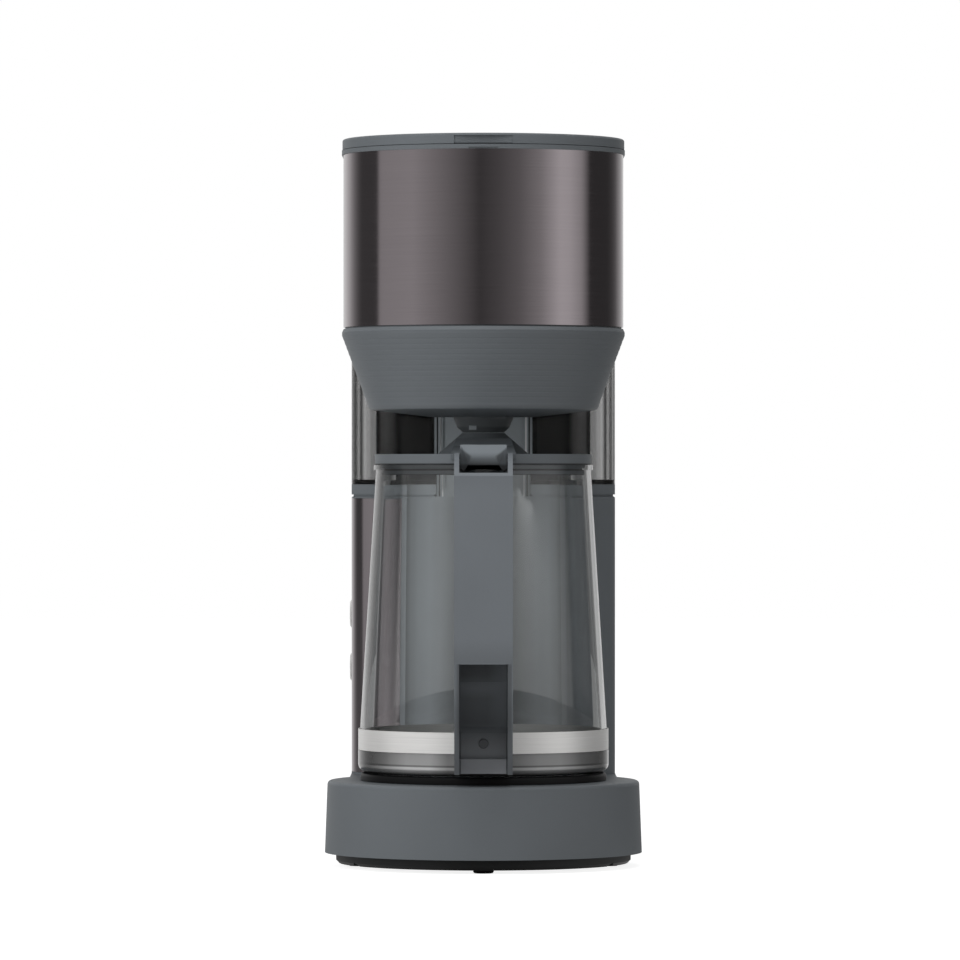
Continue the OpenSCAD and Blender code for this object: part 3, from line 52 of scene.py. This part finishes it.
class Nodes:
    """The nodes of one material or of the world, with short helpers."""

    def __init__(self, owner, end):
        self.owner = owner
        owner.use_nodes = True
        self.tree = owner.node_tree
        self.tree.nodes.clear()
        self.end = self.node(end)
        self.coord = self.node("ShaderNodeTexCoord")

    def node(self, kind, **settings):
        new = self.tree.nodes.new(kind)
        for name, value in settings.items():
            setattr(new, name, value)
        return new

    def feed(self, socket, value):
        """Links a socket to another one, or sets it to a constant."""
        if isinstance(value, bpy.types.NodeSocket):
            self.tree.links.new(value, socket)
        else:
            socket.default_value = value

    def fill(self, node, **values):
        """Feeds a node's inputs by their names, with _ for a space."""
        for name, value in values.items():
            self.feed(node.inputs[name.replace("_", " ")], value)
        return node

    def work(self, kind, operation, values):
        """The outputs of a node that works on its inputs in their order."""
        new = self.node(kind, operation=operation)
        for socket, value in zip(new.inputs, values):
            self.feed(socket, value)
        return new.outputs

    def math(self, operation, *values):
        return self.work("ShaderNodeMath", operation, values)[0]

    def vectors(self, operation, *values):
        return self.work("ShaderNodeVectorMath", operation, values)

    def product(self, first, *others):
        for other in others:
            first = self.math("MULTIPLY", first, other)
        return first

    def largest(self, first, *others):
        for other in others:
            first = self.math("MAXIMUM", first, other)
        return first

    def split(self, vector):
        new = self.node("ShaderNodeSeparateXYZ")
        self.feed(new.inputs[0], vector)
        return new.outputs

    def place(self):
        """x, y and z of the point that is shaded, in metres in the row frame."""
        return self.split(self.coord.outputs["Object"])

    def join(self, x, y, z):
        return self.fill(self.node("ShaderNodeCombineXYZ"), X=x, Y=y, Z=z).outputs[0]

    def noise(self, vector, scale, detail, rough):
        new = self.node("ShaderNodeTexNoise")
        return self.fill(new, Vector=vector, Scale=scale, Detail=detail, Roughness=rough).outputs["Fac"]

    def ramp(self, value, stops):
        """A colour by a value from 0 to 1, from pairs of value and colour."""
        new = self.node("ShaderNodeValToRGB")
        self.feed(new.inputs[0], value)
        elements = new.color_ramp.elements
        while len(elements) < len(stops):
            elements.new(0.5)
        for element, (at, colour) in zip(elements, stops):
            element.position = at
            element.color = colour
        return new.outputs["Color"]

    def by(self, value, stops):
        """A grey tone by a length, from pairs of metres and tone."""
        first, reach = stops[0][0], stops[-1][0] - stops[0][0]
        share = self.math("DIVIDE", self.math("SUBTRACT", value, first), reach)
        return self.ramp(share, [((at - first) / reach, (tone, tone, tone, 1.0)) for at, tone in stops])

    def mapped(self, value, start, end, before, after):
        """before up to start, after from end on, and even between them."""
        new = self.fill(self.node("ShaderNodeMapRange"), Value=value, From_Min=start, From_Max=end,
                        To_Min=before, To_Max=after)
        return new.outputs["Result"]

    def rise(self, value, start, end, most=1.0):
        return self.mapped(value, start, end, 0.0, most)

    def fade(self, value, start, end, most=1.0):
        return self.mapped(value, start, end, most, 0.0)

    def uneven(self, noise, rough, glossier, rougher):
        """A roughness that varies with a noise."""
        return self.mapped(noise, *NOISE_SPAN, rough - glossier, rough + rougher)

    def bump(self, height, distance, strength, normal=None):
        new = self.fill(self.node("ShaderNodeBump"), Height=height, Distance=distance, Strength=strength)
        if normal is not None:
            self.feed(new.inputs["Normal"], normal)
        return new.outputs["Normal"]

    def mix(self, share, a, b, kind="RGBA"):
        """Goes from a to b as share goes from 0 to 1."""
        new = self.node("ShaderNodeMix", data_type=kind)
        first, second, result = MIX_SOCKETS[kind]
        for socket, value in ((0, share), (first, a), (second, b)):
            self.feed(new.inputs[socket], value)
        return new.outputs[result]

    def blend(self, share, a, b):
        """The same for numbers."""
        return self.mix(share, a, b, "FLOAT")

    def shades(self, tone, colour, spread, start):
        """A colour that varies by spread to both sides as a noise rises."""
        dark = tuple(c * (1 - spread) for c in colour[:3]) + (1.0,)
        light = tuple(min(1.0, c * (1 + spread)) for c in colour[:3]) + (1.0,)
        return self.ramp(tone, [(start, dark), (1 - start, light)])

    def rays(self):
        """1 for a ray from the camera, for a glossy one and for one that came through glass."""
        path = self.node("ShaderNodeLightPath").outputs
        return path["Is Camera Ray"], path["Is Glossy Ray"], path["Is Transmission Ray"]

    def surface(self, **values):
        shader = self.fill(self.node("ShaderNodeBsdfPrincipled"), **values)
        self.feed(self.end.inputs["Surface"], shader.outputs[0])


def material(name):
    return Nodes(bpy.data.materials.new(name), "ShaderNodeOutputMaterial")


def wear(finish, *names):
    """Gives CAD nodes a material."""
    for name in names:
        slots = NODES[name].data.materials
        slots.clear()
        slots.append(finish)


# The three kinds of material; their scales are in features per metre
NOISE_SPAN = (0.3, 0.7)                 # nearly all values of a noise lie between these
GRAIN_SCALE, PATCH_SCALE = 2600.0, 22.0
GRAIN_SHARE = 0.45                      # of the grain in a plastic's tone; broad patches have the rest
GRAIN_START = 0.35                      # where that tone begins to rise from dark to light
# Fine and broad brushed lines: scale along a line, or per radian of its turn, and across it
ROUND_LINES = ((2.2, 5200.0), (0.7, 1500.0))
UPRIGHT_LINES = ((22.0, 4200.0), (9.0, 1300.0))
LINE_SHARE = 0.6                        # of the fine lines in a metal's tone
SWIRL_SCALE = 45.0


def plastic(name, colour, rough, grain=0.000006, speck=0.05, spec=0.5, parts=(), normal=None):
    """Moulded plastic: fine spark-eroded grain, slight tone and gloss variation.

    parts holds pairs of a second tone and a function that gives 1 where it shows.
    """
    m = material(name)
    point = m.coord.outputs["Object"]
    fine = m.noise(point, GRAIN_SCALE, detail=3.0, rough=0.6)
    broad = m.noise(point, PATCH_SCALE, detail=3.0, rough=0.5)
    tone = m.shades(m.blend(GRAIN_SHARE, broad, fine), colour, speck, GRAIN_START)
    for other, where in parts:
        tone = m.mix(where(m), tone, other)
    relief = m.bump(fine, grain, strength=0.6, normal=normal(m) if normal else None)
    m.surface(Base_Color=tone, Roughness=m.uneven(broad, rough, glossier=0.03, rougher=0.05),
              Normal=relief, Specular_IOR_Level=spec)
    return m.owner


def brushed(name, colour, rough, around=True, depth=0.000012, spread=0.1, metal=1.0):
    """Brushed metal; the lines run round the upright axis, or up and down."""
    m = material(name)
    x, y, z = m.place()
    if around:
        turn = m.math("ARCTAN2", m.math("SUBTRACT", y, AXIS_Y), x)
        lines = [m.join(m.product(turn, along), 0.0, m.product(z, across)) for along, across in ROUND_LINES]
    else:
        lines = [m.join(m.product(x, across), m.product(y, across), m.product(z, along))
                 for along, across in UPRIGHT_LINES]
    fine = m.noise(lines[0], scale=1.0, detail=2.0, rough=0.6)
    broad = m.noise(lines[1], scale=1.0, detail=2.0, rough=0.5)
    tone = m.blend(LINE_SHARE, broad, fine)
    m.surface(Base_Color=m.shades(tone, colour, spread, NOISE_SPAN[0]), Metallic=metal,
              Roughness=m.uneven(fine, rough, glossier=0.03, rougher=0.06),
              Normal=m.bump(tone, depth, strength=0.5))
    return m.owner


def swirl(m):
    """The waviness of clear walls."""
    return m.noise(m.coord.outputs["Object"], SWIRL_SCALE, detail=2.0, rough=0.5)


def clear(name, colour, ior, rough, wave, through=None):
    """Clear glass or plastic, faintly wavy from moulding.

    colour is a function that gives its colour, and through one that says how clear a place is.
    """
    m = material(name)
    m.surface(Base_Color=colour(m), Normal=m.bump(swirl(m), wave, strength=0.4), Roughness=rough,
              IOR=ior, Transmission_Weight=through(m) if through else 1.0)
    return m.owner


# What masks share. A mask is a function that gives 1 where a second tone shows. A pair of lengths says
# from where to where it fades, and a table how much shows at each height or distance to the side.
FRONT_FACING = (-0.7, -0.5)             # by the normal's y


def off_axis(m):
    """The distance from the upright axis, and its two parts."""
    x, y, _ = m.place()
    back = m.math("SUBTRACT", y, AXIS_Y)
    return m.math("SQRT", m.math("ADD", m.product(x, x), m.product(back, back))), x, back


def beside(stops):
    """A mask by the distance from the middle plane."""
    return lambda m: m.by(m.math("ABSOLUTE", m.place()[X]), stops)


def facing_front(m):
    """1 on faces that look to the front."""
    return m.fade(m.split(m.coord.outputs["Normal"])[Y], *FRONT_FACING)


def eased(m, smooth, start, end, most):
    """The face's own normal, drawn towards a smooth one as the two agree, up to a share of most."""
    own = m.coord.outputs["Normal"]
    share = m.rise(m.vectors("DOT_PRODUCT", own, smooth)["Value"], start, end, most)
    return m.vectors("NORMALIZE", m.mix(share, own, smooth, "VECTOR"))["Vector"]


# Grey plastic of the base, the head's rim and lid, and the cone
GREY = srgb(104, 109, 113)
CONE_SLOPE = math.radians(20.97)        # how far the cone's wall looks down


def cone_normal(m):
    """The cone's own slope, mixed into the small steps of its ribs."""
    far, x, back = off_axis(m)
    out, down = math.cos(CONE_SLOPE), -math.sin(CONE_SLOPE)
    smooth = m.join(m.product(m.math("DIVIDE", x, far), out),
                    m.product(m.math("DIVIDE", back, far), out), down)
    return eased(m, smooth, start=0.72, end=0.8, most=0.65)


wear(plastic("plastic_grey", GREY, rough=0.5), "base_housing", "rear_cover", "head_rim", "head_lid")
wear(plastic("plastic_grey_cone", GREY, rough=0.5, normal=cone_normal), "filter_housing")


# The jug's handle. Painted shade on its front by height: the foot in the band's shadow, and the end of the
# straight run.
HANDLE_SHADE = [(0.050, 0.75), (0.056, 0.75), (0.084, 0.0), (0.1064, 0.0), (0.1070, 0.33), (0.1185, 0.0),
                (0.2, 0.0)]
GROOVE_X = (0.0112, 0.0115)                       # the groove's half width
GROOVE_Y = (-0.1175, -0.1165)                     # from its lip at the front to its floor
GROOVE_LIT, GROOVE_LIT_Z = 0.8, (0.060, 0.074)    # painted light on the floor below the band's screw
GROOVE_DARK_X = (0.002, 0.010)                    # the painted shade on the floor above it fades to the right
LIP_DARK, LIP_Z = 0.5, (0.0590, 0.0595)           # painted shade on the lip below this height
# Painted shade on the groove's floor, by height
GROOVE_SHADE = [(0.05, 0.0), (0.0710, 0.0), (0.0735, 0.27), (0.0760, 0.44), (0.0885, 0.42), (0.0930, 0.13),
                (0.0955, 0.18), (0.1005, 0.52), (0.107, 0.54), (0.2, 0.54)]
# Painted shade on the flanks beside the groove: by side, and by height
FLANK_SHADE = [(-0.02, 0.0), (-0.0146, 0.0), (-0.0126, 0.6), (-0.0116, 0.6), (-0.0114, 0.0), (0.0114, 0.0),
               (0.0116, 0.55), (0.0139, 0.55), (0.0143, 0.0), (0.02, 0.0)]
FLANK_REACH = [(0.05, 0.0), (0.060, 0.0), (0.075, 1.0), (0.1062, 1.0), (0.1066, 0.0), (0.2, 0.0)]


def handle_painted_shade(m):
    """Painted shade: the shadowed foot of the handle's front, and the shade where its straight run ends."""
    return m.by(m.place()[Z], HANDLE_SHADE)


def groove(m):
    """Two masks in the groove's width: one for the lip in front of it, one for its floor."""
    x, y, _ = m.place()
    wide = m.fade(m.math("ABSOLUTE", x), *GROOVE_X)
    return m.product(wide, m.fade(y, *GROOVE_Y)), m.product(wide, m.rise(y, *GROOVE_Y))


def groove_painted_light(m):
    """Painted light on the floor of the groove, below the band's screw."""
    _, floor = groove(m)
    return m.product(floor, m.fade(m.place()[Z], *GROOVE_LIT_Z, GROOVE_LIT))


def groove_painted_shade(m):
    """Painted shade on the floor of the groove above the screw, on its lip, and on the two flanks beside
    it.
    """
    lip, floor = groove(m)
    x, _, z = m.place()
    floor = m.product(m.by(z, GROOVE_SHADE), floor, m.fade(x, *GROOVE_DARK_X))
    lip = m.product(lip, m.fade(z, *LIP_Z, LIP_DARK))
    flank = m.product(m.by(x, FLANK_SHADE), facing_front(m), m.by(z, FLANK_REACH))
    return m.largest(floor, lip, flank)


def handle_normal(m):
    """One even front face over the facets of the handle's bend."""
    return eased(m, m.join(0.0, -1.0, 0.0), start=0.80, end=0.85, most=1.0)


wear(plastic("plastic_grey_handle", srgb(115, 120, 125), rough=0.5, normal=handle_normal,
             parts=((srgb(80, 83, 86), handle_painted_shade), (srgb(165, 168, 173), groove_painted_light),
                    (srgb(50, 52, 54), groove_painted_shade))), "jug_handle")


# The jug's lid with its plug and the thumb lever
PLUG_LINES = (0.0026, 0.0054)           # at the groove and under the plate, above the lid's lower edge
PLUG_EDGE = (0.0002, 0.0004)            # and the line at the lower edge itself
PLUG_DARK = 0.8
LINE_HALF, LINE_FADE = 0.0003, 0.0003
LEVER_Y = (-0.0712, -0.0706)            # the lever lies in front of this
LEVER_FOOT_Z = (0.2050, 0.2105)         # its foot, in painted shade
PAD_Z = (0.2085, 0.2118)                # its pad, in painted light that rises from below upwards
BEVEL_Z = (0.2099, 0.2147)              # the pad widens upwards between its two bevels
BEVEL_X = (0.0054, 0.0117)
# The painted shade along the two bevels: its width, and how dark it is
BEVEL_WIDTH, BEVEL_DARK = 0.0018, 0.68
LEVER_FADE_POWER = 1.3                  # how the painted shade at the lever's foot thins out upwards


def on_lever(m):
    """1 in front of the lid's plate, where the lever is."""
    return m.fade(m.place()[Y], *LEVER_Y)


def lid_plug(m):
    """Dark lines round the lid's plug: under the plate, at the groove and at its lower edge."""
    _, y, z = m.place()
    height = m.math("SUBTRACT", z, LID_LOW)
    dark = m.fade(height, *PLUG_EDGE, PLUG_DARK)
    for line in PLUG_LINES:
        gap = m.math("ABSOLUTE", m.math("SUBTRACT", height, line))
        dark = m.largest(dark, m.fade(gap, LINE_HALF, LINE_HALF + LINE_FADE, PLUG_DARK))
    return m.product(dark, m.rise(y, *LEVER_Y))


def lever_painted_light(m):
    """Painted light on the upper part of the thumb lever."""
    return m.product(m.rise(m.place()[Z], *PAD_Z), on_lever(m))


def lever_painted_shade(m):
    """Painted shade: 1 at the foot of the thumb lever, and less along the two bevels beside its pad."""
    x, _, z = m.place()
    foot = m.math("POWER", m.fade(z, *LEVER_FOOT_Z), LEVER_FADE_POWER)
    past_pad = m.math("SUBTRACT", m.math("ABSOLUTE", x), m.mapped(z, *BEVEL_Z, *BEVEL_X))
    bevel = m.rise(past_pad, 0.0, BEVEL_WIDTH, BEVEL_DARK)
    return m.product(m.largest(foot, bevel), on_lever(m))


wear(plastic("plastic_grey_lid", GREY, rough=0.5,
             parts=((srgb(30, 32, 33), lid_plug), (srgb(130, 136, 141), lever_painted_light),
                    (srgb(22, 23, 24), lever_painted_shade))), "jug_lid")


# The jug's glass: its thick foot is half clear, with a painted highlight line above the rounded edge
JUG_TINT = (0.965, 0.975, 0.975)
JUG_LIGHTER = 1.015                     # the tint varies by this factor with the waviness
FOOT_TOP = BAND_LOW - 0.0002
FOOT_EDGE = 0.00005
FOOT_INSIDE = (0.0606, 0.0610)          # the foot's outer wall lies further than this from the axis
FOOT_CLEAR = 0.35                       # how much of the light it lets through
# Painted light and shade on the foot's outer wall: by height, with its highlight line, and by side
FOOT_HEIGHT = [(0.048, 0.0), (0.0487, 0.03), (0.0493, 0.15), (0.0502, 0.38), (0.0511, 0.48), (0.0517, 1.0),
               (0.0526, 1.0), (0.0531, 0.3), (0.0536, 0.27), (0.0541, 0.56), (0.0585, 0.49), (0.0597, 0.42)]
FOOT_SIDES = [(-0.066, 0.05), (-0.057, 0.2), (-0.048, 0.5), (-0.039, 0.9), (-0.027, 0.95), (-0.018, 0.5),
              (0.0, 0.5), (0.018, 0.7), (0.028, 1.0), (0.039, 1.0), (0.048, 0.6), (0.057, 0.3),
              (0.066, 0.1)]


def jug_foot(m):
    """1 on the outer wall of the jug's thick foot, below the band."""
    far, _, _ = off_axis(m)
    return m.product(m.fade(m.place()[Z], FOOT_TOP - FOOT_EDGE, FOOT_TOP), m.rise(far, *FOOT_INSIDE))


def jug_colour(m):
    """The faint tint of the glass, and on the foot's outer wall a painted tone: a highlight line, lighter
    and darker by height and side.
    """
    lighter = tuple(min(1.0, c * JUG_LIGHTER) for c in JUG_TINT)
    glass = m.ramp(swirl(m), [(NOISE_SPAN[0], JUG_TINT + (1.0,)), (NOISE_SPAN[1], lighter + (1.0,))])
    x, _, z = m.place()
    return m.mix(jug_foot(m), glass, m.product(m.by(z, FOOT_HEIGHT), m.by(x, FOOT_SIDES)))


def jug_clearness(m):
    return m.blend(jug_foot(m), 1.0, FOOT_CLEAR)


wear(clear("jug_glass", jug_colour, ior=1.47, rough=0.0, wave=0.000001, through=jug_clearness), "jug_glass")


# The warming plate, lighter inside the jug's standing ring
RING_INSIDE = (0.0515, 0.0525)


def plate_middle(m):
    """1 on the plate inside the ring."""
    far, _, _ = off_axis(m)
    return m.fade(far, *RING_INSIDE)


wear(plastic("plate_black", srgb(16, 16, 17), rough=0.5, grain=0.00001, speck=0.1, spec=0.25,
             parts=((srgb(185, 186, 187), plate_middle),)), "warming_plate")


# The tower: behind the jug, its niche has a painted soft sheen at each side
NICHE_Y = (0.078, 0.080)
NICHE_SHEEN = [(0.0, 0.2), (0.0165, 0.2), (0.022, 0.44), (0.029, 0.82), (0.036, 0.87), (0.040, 0.69),
               (0.0430, 0.25), (0.0455, 0.14), (0.0465, 0.0), (0.07, 0.0)]


def niche(m):
    """The painted sheen on the niche's wall."""
    return m.product(beside(NICHE_SHEEN)(m), m.fade(m.place()[Y], *NICHE_Y))


wear(plastic("plastic_grey_tower", srgb(109, 114, 118), rough=0.6, grain=0.000001, speck=0.03, spec=0.3,
             parts=((srgb(215, 223, 229), niche),)), "tower_housing", "tank_collar")


# The spine: a front lighter with painted light, and a dark line and a pale painted highlight line along
# each edge
SPINE_FRONT_Y = (SPINE_BACK - 0.0041, SPINE_BACK - 0.0001)
DARK_LINE_IN, PALE_LINE_IN = 0.0016, 0.0033       # how far the dark line and the painted highlight line lie inside the edge
SPINE_LINE_HALF, SPINE_LINE_FADE = 0.0003, 0.0002
PAST_SPINE = 0.06                       # where the lines' tables end, beyond the spine


def spine_painted_light(m):
    """1 in front of the spine's back face, where its front is lighter with painted light."""
    return m.fade(m.place()[Y], *SPINE_FRONT_Y)


def spine_line(inside):
    """A line along each edge, so far inside it."""
    at, half = SPINE_HALF - inside, SPINE_LINE_HALF
    return beside([(at - half - SPINE_LINE_FADE, 0.0), (at - half, 1.0), (at + half, 1.0),
                   (at + half + SPINE_LINE_FADE, 0.0), (PAST_SPINE, 0.0)])


wear(plastic("plastic_grey_spine", GREY, rough=0.5,
             parts=((srgb(160, 167, 171), spine_painted_light), (srgb(24, 25, 26), spine_line(DARK_LINE_IN)),
                    (srgb(245, 246, 247), spine_line(PALE_LINE_IN)))), "spine")


# The smoked tank, by side, and painted light on the front of its back plate, as the smoke lets it show from
# the front
TANK_SMOKE = [(0.0, 0.5), (0.045, 0.5), (0.0475, 0.8), (0.051, 0.96), (0.0548, 0.96), (0.0562, 0.38),
              (0.0605, 0.4), (0.0617, 0.6), (0.07, 0.62)]
BACK_TONES = [(0.0, 0.4), (0.045, 0.45), (0.048, 0.9), (0.0525, 1.0), (0.06, 1.0)]


def tank_back_painted_light(m):
    """Painted light on the front of the back plate, by side."""
    return m.product(facing_front(m), beside(BACK_TONES)(m))


wear(clear("tank_smoke", beside(TANK_SMOKE), ior=1.2, rough=0.08, wave=0.000002), "water_tank")
wear(plastic("plastic_tank_back", srgb(13, 13, 14), rough=0.6, spec=0.2,
             parts=((srgb(240, 240, 241), tank_back_painted_light),)), "tank_back")


# Metal
wear(brushed("steel_bright", srgb(244, 243, 241), rough=0.35, spread=0.09, metal=0.45),
     "jug_band", "power_button", "aroma_button")
wear(brushed("steel_panel", srgb(152, 145, 148), rough=0.14, around=False, depth=0.000004, spread=0.05),
     "control_panel")
wear(brushed("steel_drum", srgb(158, 150, 153), rough=0.1, depth=0.000004, spread=0.05), "steel_drum")
wear(brushed("screw_grey", srgb(108, 110, 113), rough=0.45, metal=0.25), "band_screw")
wear(brushed("steel_small", srgb(170, 170, 170), rough=0.3),
     "base_screws", "rear_screws", "lid_pins", "valve_spring", "jug_lid_pin")
wear(brushed("aluminium_cast", srgb(196, 197, 198), rough=0.45),
     "heating_element", "thermostats", "riser_tube")

# The other plastics and rubbers
wear(plastic("plastic_under", srgb(20, 21, 22), rough=0.55), "base_cover")
wear(plastic("rubber_black", srgb(22, 22, 22), rough=0.75, grain=0.00004, spec=0.3),
     "feet", "cord_outlet", "plate_seal")
wear(plastic("plastic_nozzle", srgb(86, 90, 92), rough=0.4), "drip_nozzle")
wear(plastic("plastic_valve", srgb(150, 152, 152), rough=0.4), "valve_plunger")
wear(plastic("plastic_dark", srgb(58, 61, 63), rough=0.4), "head_liner", "shower_head", "valve_cage")
wear(plastic("plastic_black", srgb(26, 27, 28), rough=0.5), "switches", "brew_basket")
wear(plastic("silicone", srgb(205, 205, 198), rough=0.55),
     "check_valve", "tank_seal", "cold_hose", "outlet_seal", "valve_washer")
wear(plastic("board_green", srgb(40, 92, 58), rough=0.4), "switch_board")


# The room: white behind the object, two soft boxes at its sides, dark towards the camera.
# Only reflections see its tones. Degrees count from the camera's direction, to the right as positive.
ROOM = [(-180, 0.8), (-156, 0.8), (-150, 0.72), (-143.5, 0.62), (-138.5, 0.46), (-134, 0.33), (-130, 0.24),
        (-126, 0.16), (-120, 0.09), (-98, 0.09), (-94.5, 0.5), (-60, 0.55), (-45, 0.43), (-19, 0.225),
        (-3, 0.09), (13, 0.145), (30, 0.24), (48, 0.44), (66, 0.86), (75, 0.82), (88, 0.56), (98, 0.06),
        (124, 0.06), (131, 0.09), (137, 0.14), (141.5, 0.21), (147, 0.37), (153, 0.46), (161, 0.64),
        (168, 0.8), (180, 0.8)]
# The same room for rays that have come through glass
THROUGH = [(-180, 1.0), (-175, 1.0), (-172, 0.1), (-151, 0.1), (-149, 0.05), (-98, 0.06), (-90, 0.12),
           (-60, 0.25), (-40, 0.55), (-12, 0.45), (12, 0.45), (30, 0.55), (45, 0.6), (60, 0.3), (90, 0.12),
           (98, 0.06), (149, 0.05), (151, 0.4), (165, 0.4), (168, 0.1), (172, 0.1), (175, 1.0), (180, 1.0)]
DIFFUSE = 0.31                          # the even level that lights the object
OVERHEAD = 0.6                          # the even tone overhead
OVERHEAD_RISE = (0.55, 0.85)            # takes over as a direction's z goes from one to the other


def room_tones(m, x, y):
    """The tones of ROOM and THROUGH in the direction x, y."""
    turn = m.math("ARCTAN2", x, m.product(y, -1.0))
    share = m.math("MULTIPLY_ADD", turn, 0.5 / math.pi, 0.5)
    return [m.ramp(share, [(degrees / 360 + 0.5, (tone, tone, tone, 1.0)) for degrees, tone in stops])
            for stops in (ROOM, THROUGH)]


def light_room():
    """White to the camera, even to diffuse rays, and the room's tones to the others."""
    scene.world = bpy.data.worlds.new("studio")
    m = Nodes(scene.world, "ShaderNodeOutputWorld")
    x, y, z = m.split(m.coord.outputs["Generated"])
    camera, glossy, past_glass = m.rays()
    overhead = m.rise(z, *OVERHEAD_RISE)
    reflected, through = [m.blend(overhead, tone, OVERHEAD) for tone in room_tones(m, x, y)]
    level = m.blend(camera, m.blend(past_glass, m.blend(glossy, DIFFUSE, reflected), through), 1.0)
    background = m.fill(m.node("ShaderNodeBackground"), Color=WHITE, Strength=level)
    m.feed(m.end.inputs["Surface"], background.outputs[0])


light_room()

# Three soft lamps that aim at the object: name, place, size, power
LAMPS = (("key_left", (-1.15, -1.0, 0.55), (0.5, 1.4), 12),
         ("fill_right", (1.3, -1.1, 0.5), (0.35, 1.4), 0.8),
         ("top_soft", (0, -0.8, 1.6), (1.2, 1.2), 9.5))
LAMP_AIM = Vector((0, 0, 0.2))

for name, place, size, power in LAMPS:
    light = bpy.data.lights.new(name, "AREA")
    light.shape = "RECTANGLE"
    light.size, light.size_y = size
    light.energy = power
    lamp = bpy.data.objects.new(name, light)
    scene.collection.objects.link(lamp)
    lamp.location = place
    lamp.rotation_euler = (LAMP_AIM - Vector(place)).to_track_quat("-Z", "Y").to_euler()
    lamp.visible_glossy = False
    lamp.visible_transmission = False

# The floor: white to the camera, with the object's own soft shadow
FLOOR_HALF = 6.0
FLOOR_TONE, FLOOR_IN_GLOSS = 0.55, 0.25           # its own colour, and as metal and gloss see it
FLOOR_GLOW = 0.86                       # what makes it white, on top of the light on it


def floor_material():
    """Shows the camera white, and metal and glass the room's tones."""
    m = material("floor_white")
    x, y, _ = m.place()
    camera, glossy, past_glass = m.rays()
    reflected, through = room_tones(m, x, y)
    in_gloss = m.product(glossy, m.math("SUBTRACT", 1.0, past_glass))
    tone = m.blend(camera, m.blend(past_glass, m.blend(in_gloss, 1.0, reflected), through), 1.0)
    seen = m.largest(camera, glossy, past_glass)
    m.surface(Base_Color=m.blend(in_gloss, FLOOR_TONE, FLOOR_IN_GLOSS), Roughness=1.0,
              Specular_IOR_Level=0.0, Emission_Color=WHITE,
              Emission_Strength=m.product(seen, tone, FLOOR_GLOW))
    return m.owner


sheet = bmesh.new()
bmesh.ops.create_grid(sheet, x_segments=1, y_segments=1, size=FLOOR_HALF)
floor_mesh = bpy.data.meshes.new("floor")
sheet.to_mesh(floor_mesh)
sheet.free()
floor_mesh.materials.append(floor_material())
floor = bpy.data.objects.new("floor", floor_mesh)
scene.collection.objects.link(floor)

# The camera: level, at the photograph's distance and height
CAMERA_X, CAMERA_HEIGHT = -0.00174, 0.1979
CAMERA_AWAY = 3.4                       # in front of the upright axis
FOCAL_PIXELS, FRAME_PIXELS = 6626.6, 960
SENSOR = 36.0                           # millimetres, as Blender has it

lens = bpy.data.cameras.new("camera")
lens.sensor_fit = "HORIZONTAL"
lens.sensor_width = SENSOR
lens.lens = FOCAL_PIXELS / FRAME_PIXELS * SENSOR
lens.clip_end = 50
camera = bpy.data.objects.new("camera", lens)
camera.location = (CAMERA_X, AXIS_Y - CAMERA_AWAY, CAMERA_HEIGHT)
camera.rotation_euler = (math.radians(90), 0, 0)
scene.collection.objects.link(camera)
scene.camera = camera

scene.view_settings.view_transform = "Standard"
